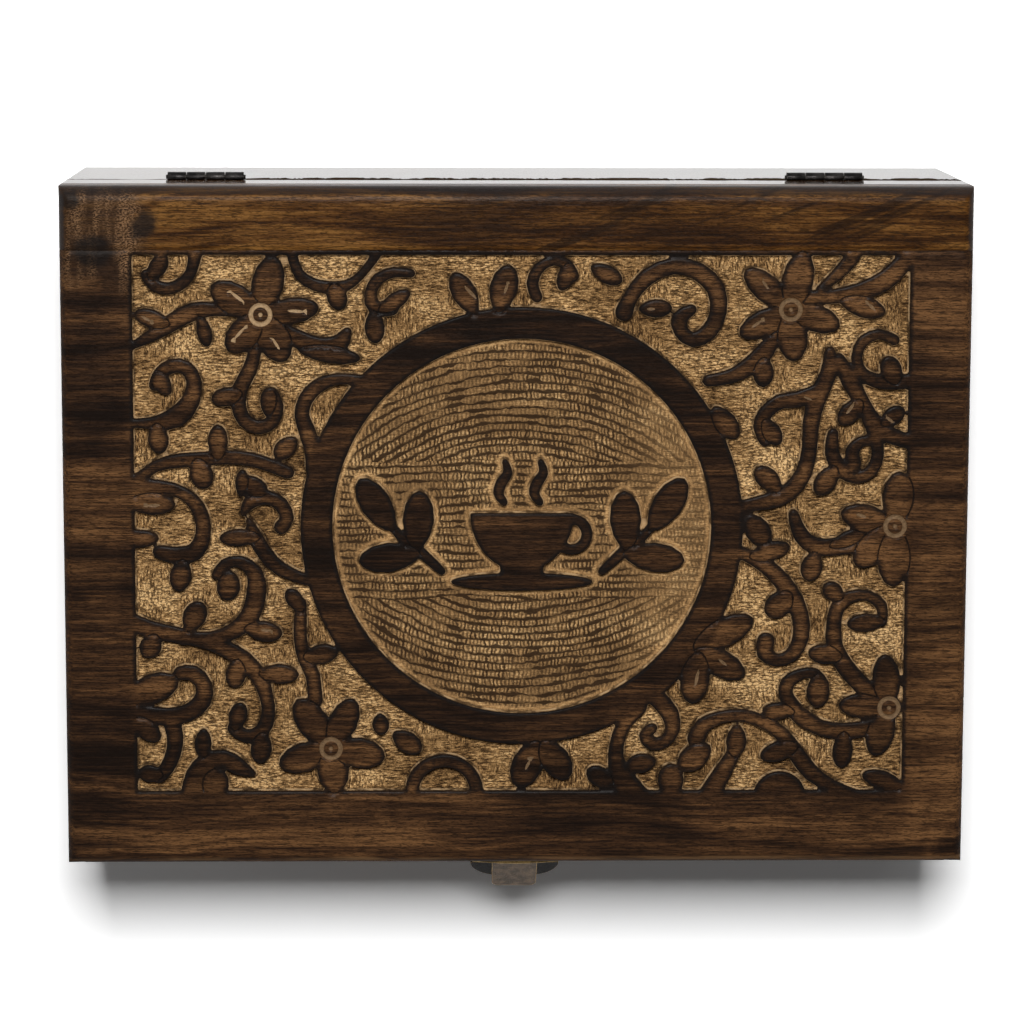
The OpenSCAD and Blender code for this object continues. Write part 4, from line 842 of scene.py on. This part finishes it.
def carved_material():
    """Dark scorched relief over a pale tool-marked ground, told apart by the board's masks."""
    s = Shade("wood_carved_lid")
    rings, fibre, dash, blot = grain(s, ALONG_X, (-190.0, 20.0), 5.0, 0.0)
    sd, cut, crease = s.attr("sd"), s.attr("cut"), s.attr("crease")
    flat = s.xyz(s.x, s.y)
    from_mid = s.vmath("DISTANCE", flat, (*RING_MID, 0.0))
    fuzz = s.mad(s.noise(s.mm, 0.9, 4.0, 0.65), 1.5, -0.75)
    near = s.add(sd, fuzz)
    # relief: dark ring and motif, rubbed brown middles on the vines and leaves
    outside = s.step(from_mid, RING_OUT - 1.0, RING_OUT + 1.5)
    # the underside has no ring
    outside = s.math("MAXIMUM", outside, s.step(s.z, GROUND_Z - 0.8, GROUND_Z - 1.8))
    # fades out over the pocket's edges
    in_x = s.step(s.math("ABSOLUTE", s.sub(s.x, 1.25)), 110.5, 107.0)
    in_y = s.step(s.math("ABSOLUTE", s.sub(s.y, 1.0)), 78.0, 75.0)
    carving = s.mul(outside, s.mul(in_x, in_y))
    rubbed = s.mul(carving, s.step(near, -0.9, -1.9))
    lift = s.mad(outside, 0.034, -0.034)
    lift = s.mad(rubbed, 0.055, lift)
    # the patches along the front edge are a painted sheen
    for x, y, rx, ry, up in TONE_AND_SHEEN_PATCHES:
        lift = s.mad(s.patch(x, y, rx, ry), up, lift)
    dark = wood_color(s, BURNT, rings, fibre, dash, blot, 0.5, lift)
    dark = end_grain(s, dark)
    char = s.step(near, -1.35, -0.35)
    dark = s.mix(s.mul(char, 0.85), dark, CHAR)
    dark = s.mix(s.mul(s.step(crease, 0.10, 0.70), 0.85), dark, (0.006, 0.0045, 0.004))
    # ground: pale wood with strokes and pits of the gouge
    wide = s.streaks((0.05, 0.08, 0.05))
    flat_cut = s.streaks((0.55, 2.7, 1.0), 3.0, 0.6, 0.3)
    steep_cut = s.streaks((2.5, 0.60, 1.0), 3.0, 0.6, 0.3)
    zone = s.step(s.streaks((0.045, 0.06, 0.0), 2.0), 0.50, 0.58)
    strokes = s.blendf(zone, flat_cut, steep_cut)
    grit = s.noise(s.mm, 2.6, 3.0, 0.65)
    tone = s.add(s.add(s.mul(wide, 0.36), s.mul(strokes, 0.46)), s.mul(grit, 0.26))
    raw = s.ramp(tone, GROUND)
    pits = s.cells(s.stretch((1.1, 1.9, 1.0)))
    hole = s.mul(s.step(pits, 0.52, 0.72), s.step(wide, 0.40, 0.60, 0.3, 0.85))
    spots = s.math("MAXIMUM", hole, s.mul(s.step(strokes, 0.46, 0.35), 0.8))
    hollow, wob = disc_gaps(s, flat)
    band = s.step(s.add(near, wob), 0.9, 1.9)
    in_disc = s.math("LESS_THAN", from_mid, RING_IN + 0.3)
    spots = s.blendf(in_disc, s.mul(spots, 0.85), s.mul(hollow, band))
    hue = s.mix(in_disc, (0.030, 0.017, 0.009), (0.026, 0.014, 0.0075))
    raw = s.mix(s.mul(in_disc, 0.40), raw, (0.400, 0.232, 0.100))
    raw = s.mix(spots, raw, hue)
    patchy = s.step(s.noise(s.mm, 0.25, 2.0), 0.40, 0.62)
    shade = s.mul(s.step(near, 1.0, 0.2), s.mad(patchy, -0.5, 0.80))
    raw = s.mix(shade, raw, (0.018, 0.011, 0.007))
    wall = s.mul(s.step(sd, 0.05, 0.16), s.step(sd, 0.42, 0.28))
    raw = s.mix(s.mul(wall, s.mul(patchy, 0.75)), raw, (0.480, 0.320, 0.170))
    is_ground = s.step(sd, 0.0, 0.10)
    color = s.mix(is_ground, dark, raw)
    pale = s.mul(s.step(s.add(cut, s.mul(fuzz, 0.08)), 0.12, 0.34), s.sub(1.0, is_ground))
    # the cuts of the first flower are the palest
    first = s.step(s.vmath("DISTANCE", flat, (*EYES[0], 0.0)), 15.0, 12.0)
    mottle = s.noise(s.mm, 1.4, 2.0)
    bright = s.mix(mottle, (0.26, 0.155, 0.075), (0.60, 0.420, 0.240))
    dull = s.mix(mottle, (0.085, 0.050, 0.026), (0.300, 0.190, 0.100))
    color = s.mix(s.mul(pale, 0.92), color, s.mix(first, dull, bright))
    # worn golden line along the rounded front edge
    rim_y = s.add(s.y, 94.6)
    edge = s.mul(s.step(s.math("ABSOLUTE", rim_y), 0.9, 0.2),
                  s.step(s.streaks((0.03, 0.2, 0.2)), 0.42, 0.60))
    color = s.mix(s.mul(edge, 0.6), color, (0.20, 0.110, 0.048))
    rough = s.blendf(is_ground, s.mad(fibre, 0.30, 0.34), 0.85)
    grainy = s.sub(s.mul(fibre, 0.35), s.mul(dash, 0.55))
    fur = s.sub(s.mul(strokes, 0.8), s.mul(spots, 1.3))
    h = s.blendf(is_ground, grainy, fur)
    coat = s.mul(s.sub(1.0, is_ground), 0.06)
    return s.surface(color, rough, h, 0.16, coat=coat, coat_rough=0.22, spec=0.03)


board = carved_board()
board.data.materials.append(carved_material())
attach(board, "lid")
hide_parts("lid_top")


def back_strip():
    """The strip along the board's back, rounded over by hand behind and at its ends."""
    inner, flat_y = HALF_W - EDGE_R, BACK_Y - BACK_R
    right = [inner + EDGE_R * t for t in TURN]
    xs = [*(-x for x in reversed(right)), *np.arange(-inner + 2, inner - 1, 2.0), *right]
    ys = [STRIP_Y, STRIP_Y + JOINT, *np.arange(STRIP_Y + 1.5, flat_y, 1.5),
          *(flat_y + BACK_R * t for t in TURN)]
    gx, gy = np.meshgrid(xs, ys)
    ax = np.clip(np.abs(gx) - inner, 0, EDGE_R) / EDGE_R
    ay = np.clip(gy - flat_y, 0, BACK_R) / BACK_R
    worn = BACK_R * (1 + 0.10 * rough_map(gx, gy * 0, 0.05, 1.0, 31))
    fall = np.maximum(EDGE_R * (1 - np.sqrt(1 - ax ** 2)), worn * (1 - np.sqrt(1 - ay ** 2)))
    wave = 0.04 * (1 + rough_map(gx, gy, *BROAD, 3)) * (1 - np.maximum(ax, ay))
    z = FACE_Z - fall - wave - JOINT_DROP * soft(-gy, -STRIP_Y - JOINT, -STRIP_Y)
    grid = np.arange(gx.size).reshape(gx.shape)
    rim = np.concatenate([grid[0], grid[1:, -1], grid[-1, -2::-1], grid[-2:0:-1, 0]])
    faces = np.stack([grid[:-1, :-1], grid[:-1, 1:], grid[1:, 1:], grid[1:, :-1]], axis=2)
    top = np.column_stack([gx.ravel(), gy.ravel(), z.ravel()])
    return closed_mesh("lid_strip_rounded", top, rim.tolist(), faces.reshape(-1, 4).tolist())


# ------------ looks of the CAD nodes
SAME_PLACE, SHARP = 1e-6, math.radians(32)   # m; the least angle of an arris


def dress(node, material, round_mm=0.0, steps=2):
    """Gives a piece its material and worn arrises of a radius in mm."""
    ob = NODES[node]
    ob.data.materials.clear()
    ob.data.materials.append(material)
    if round_mm:
        ob.modifiers.new("weld", "WELD").merge_threshold = SAME_PLACE
        b = ob.modifiers.new("arris", "BEVEL")
        b.width, b.segments = round_mm * MM, steps
        b.limit_method, b.angle_limit = "ANGLE", SHARP


strip = back_strip()
strip.data.materials.append(wood(
    "wood_strip", WARM, ALONG_X, (130.0, 30.0), 3.2, 7.0, scorch=0.40, rough=0.36, coat=0.28,
    coat_rough=0.30, wear=0.25, lift=0.045, strip=True,
    patches=((-92, 86, 28, 12, 0.05), (100, 86, 30, 14, -0.035))))
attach(strip, "lid")
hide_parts("lid_back_strip")

GLOSSY = dict(seam=True, coat=0.95, coat_rough=0.10)
BARE = dict(scorch=0.15, rough=0.62, coat=0.0, edge=(0.56, 0.41, 0.26), wear=0.4)
# Piece, material, palette, grain, pith across the grain and its ring width and shift in mm,
# arris in mm, and what else differs
for node, *look, arris, rest in (
        ("lid_back_rail", "wood_back_rail", WARM, ALONG_X, (60, 120), 4.0, 11, 0.35, GLOSSY),
        ("lid_front_rail", "wood_front_rail", BURNT, ALONG_X, (-150, 20), 4.0, 13, 0.35, {}),
        ("lid_left_rail", "wood_left_rail", BURNT, ALONG_Y, (-160, 40), 4.0, 17, 0.35, {}),
        ("lid_right_rail", "wood_right_rail", BURNT, ALONG_Y, (160, 30), 4.0, 19, 0.35, {}),
        ("base_front_wall", "wood_front_wall", BURNT, ALONG_X, (-150, 10), 4.5, 23, 0.5, {}),
        ("base_back_wall", "wood_back_wall", BURNT, ALONG_X, (150, 60), 4.5, 29, 0.5, GLOSSY),
        ("base_left_wall", "wood_left_wall", BURNT, ALONG_Y, (-170, 20), 4.5, 31, 0.5, {}),
        ("base_right_wall", "wood_right_wall", BURNT, ALONG_Y, (165, 50), 4.5, 37, 0.5, {}),
        ("base_bottom", "wood_bottom", RAW, ALONG_X, (0, 90), 5.0, 41, 0.0, BARE),
        ("divider_long", "wood_divider_long", RAW, ALONG_X, (60, 20), 3.5, 43, 0.35, BARE),
        ("divider_cross_left", "wood_divider_l", RAW, ALONG_Y, (40, 10), 3.5, 47, 0.35, BARE),
        ("divider_cross_right", "wood_divider_r", RAW, ALONG_Y, (-60, 70), 3.5, 53, 0.35, BARE)):
    dress(node, wood(*look, **rest), arris)

bronze = metal("bronze_dark", (0.009, 0.0085, 0.0085), (0.026, 0.024, 0.023),
               (0.13, 0.105, 0.085), 0.30, 0.5, 0.45)
BRASS = ((0.040, 0.027, 0.017), (0.120, 0.080, 0.048), (0.60, 0.40, 0.17), 0.38, 0.7, 0.9)
brass = metal("brass_aged", *BRASS)
flap = metal("brass_flap", *BRASS, wings=6.3)
gilt = metal("brass_plate", (0.075, 0.048, 0.020), (0.330, 0.215, 0.080), (0.70, 0.48, 0.20),
             0.34, 0.5, 0.9)
steel = metal("screw_steel", (0.12, 0.10, 0.075), (0.38, 0.34, 0.27), (0.60, 0.55, 0.46),
              0.32, 0.4, 0.7)
for side in ("left", "right"):
    for part in ("base_leaf", "lid_leaf", "pin"):
        dress(f"hinge_{side}_{part}", bronze, 0.08)
dress("hinge_screws_base", steel)
dress("hinge_screws_lid", steel)
dress("latch_plate", gilt, 0.12)
dress("latch_flap", flap, 0.18, 3)
dress("latch_pin", bronze, 0.08)
dress("latch_catch", brass, 0.12)
dress("latch_nails_lid", brass, 0.1)
dress("latch_nails_base", brass, 0.1)


# ------------ floor and lighting
FLOOR_Z, FLOOR_R = -0.00002, 0.60   # m
SIDES, RINGS = 96, 16
FLOOR_LIT, FLOOR_MIRRORED, FLOOR_SEEN = 0.55, 1.0, 1.5   # its tone by the kind of ray
AIM = (0, 0, 0.04)                 # m, what the lights point at


def floor_plane():
    """A round pale floor, small enough that it is white to its rim."""
    verts, faces = [(0.0, 0.0, FLOOR_Z)], []
    for k in range(1, RINGS + 1):
        r = FLOOR_R * k / RINGS
        for i in range(SIDES):
            a = 2 * math.pi * i / SIDES
            verts.append((r * math.cos(a), r * math.sin(a), FLOOR_Z))
    for i in range(SIDES):
        j = (i + 1) % SIDES
        faces.append((0, 1 + i, 1 + j))
        for k in range(RINGS - 1):
            lo, hi = 1 + k * SIDES, 1 + (k + 1) * SIDES
            faces.append((lo + i, hi + i, hi + j, lo + j))
    me = bpy.data.meshes.new("floor")
    me.from_pydata(verts, [], faces)
    ob = placed("floor", me)
    s = Shade("floor_white")
    path = s.node("ShaderNodeLightPath").outputs
    mirrored = s.math("MAXIMUM", path["Is Glossy Ray"], path["Is Transmission Ray"])
    tone = s.mix(mirrored, (FLOOR_LIT,) * 3, (FLOOR_MIRRORED,) * 3)
    tone = s.mix(path["Is Camera Ray"], tone, (FLOOR_SEEN,) * 3)
    me.materials.append(s.finished(s.node("ShaderNodeBsdfDiffuse", {"Color": tone})))


def softbox(name, at, size, watts):
    data = bpy.data.lights.new(name, "AREA")
    data.shape, data.size, data.size_y = "RECTANGLE", *size
    data.energy = watts
    ob = placed(name, data)
    ob.location = at
    ob.rotation_mode = "QUATERNION"
    ob.rotation_quaternion = (Vector(AIM) - Vector(at)).to_track_quat("-Z", "Y")


floor_plane()
softbox("key", (-0.03, 0.555, 1.50), (0.39, 0.39), 23.0)
softbox("front_fill", (0.5, -2.0, 0.34), (1.4, 0.5), 2.6)
softbox("left_fill", (-2.0, 0.4, 0.5), (1.2, 0.8), 3.0)
softbox("back_fill", (0.8, 2.0, 0.6), (1.2, 0.8), 3.0)

AMBIENT, CEILING = 0.055, 0.07
CEILING_FROM, CEILING_TO = 0.60, 0.92   # how far up it begins, and is fully there


def studio_world():
    """Even dim light for surfaces; white to look at and in reflections, with a dark ceiling."""
    world = bpy.data.worlds.new("studio")
    bpy.context.scene.world = world
    g = Graph(world)
    path = g.node("ShaderNodeLightPath").outputs
    seen = g.math("MAXIMUM", path["Is Camera Ray"], path["Is Glossy Ray"])
    seen = g.math("MAXIMUM", seen, path["Is Transmission Ray"])
    way = g.node("ShaderNodeTexCoord").outputs["Generated"]
    up = g.node("ShaderNodeSeparateXYZ", {0: way}).outputs[2]
    shown = g.node("ShaderNodeMapRange", {0: up, 1: CEILING_FROM, 2: CEILING_TO, 3: 1.0,
                                          4: CEILING}).outputs[0]
    level = g.node("ShaderNodeMix", {0: seen, 2: AMBIENT, 3: shown}, data_type="FLOAT").outputs[0]
    back = g.node("ShaderNodeBackground", {0: (1, 1, 1, 1), 1: level})
    g.node("ShaderNodeOutputWorld", {0: back.outputs[0]})


studio_world()
bpy.context.scene.view_settings.view_transform = "Standard"
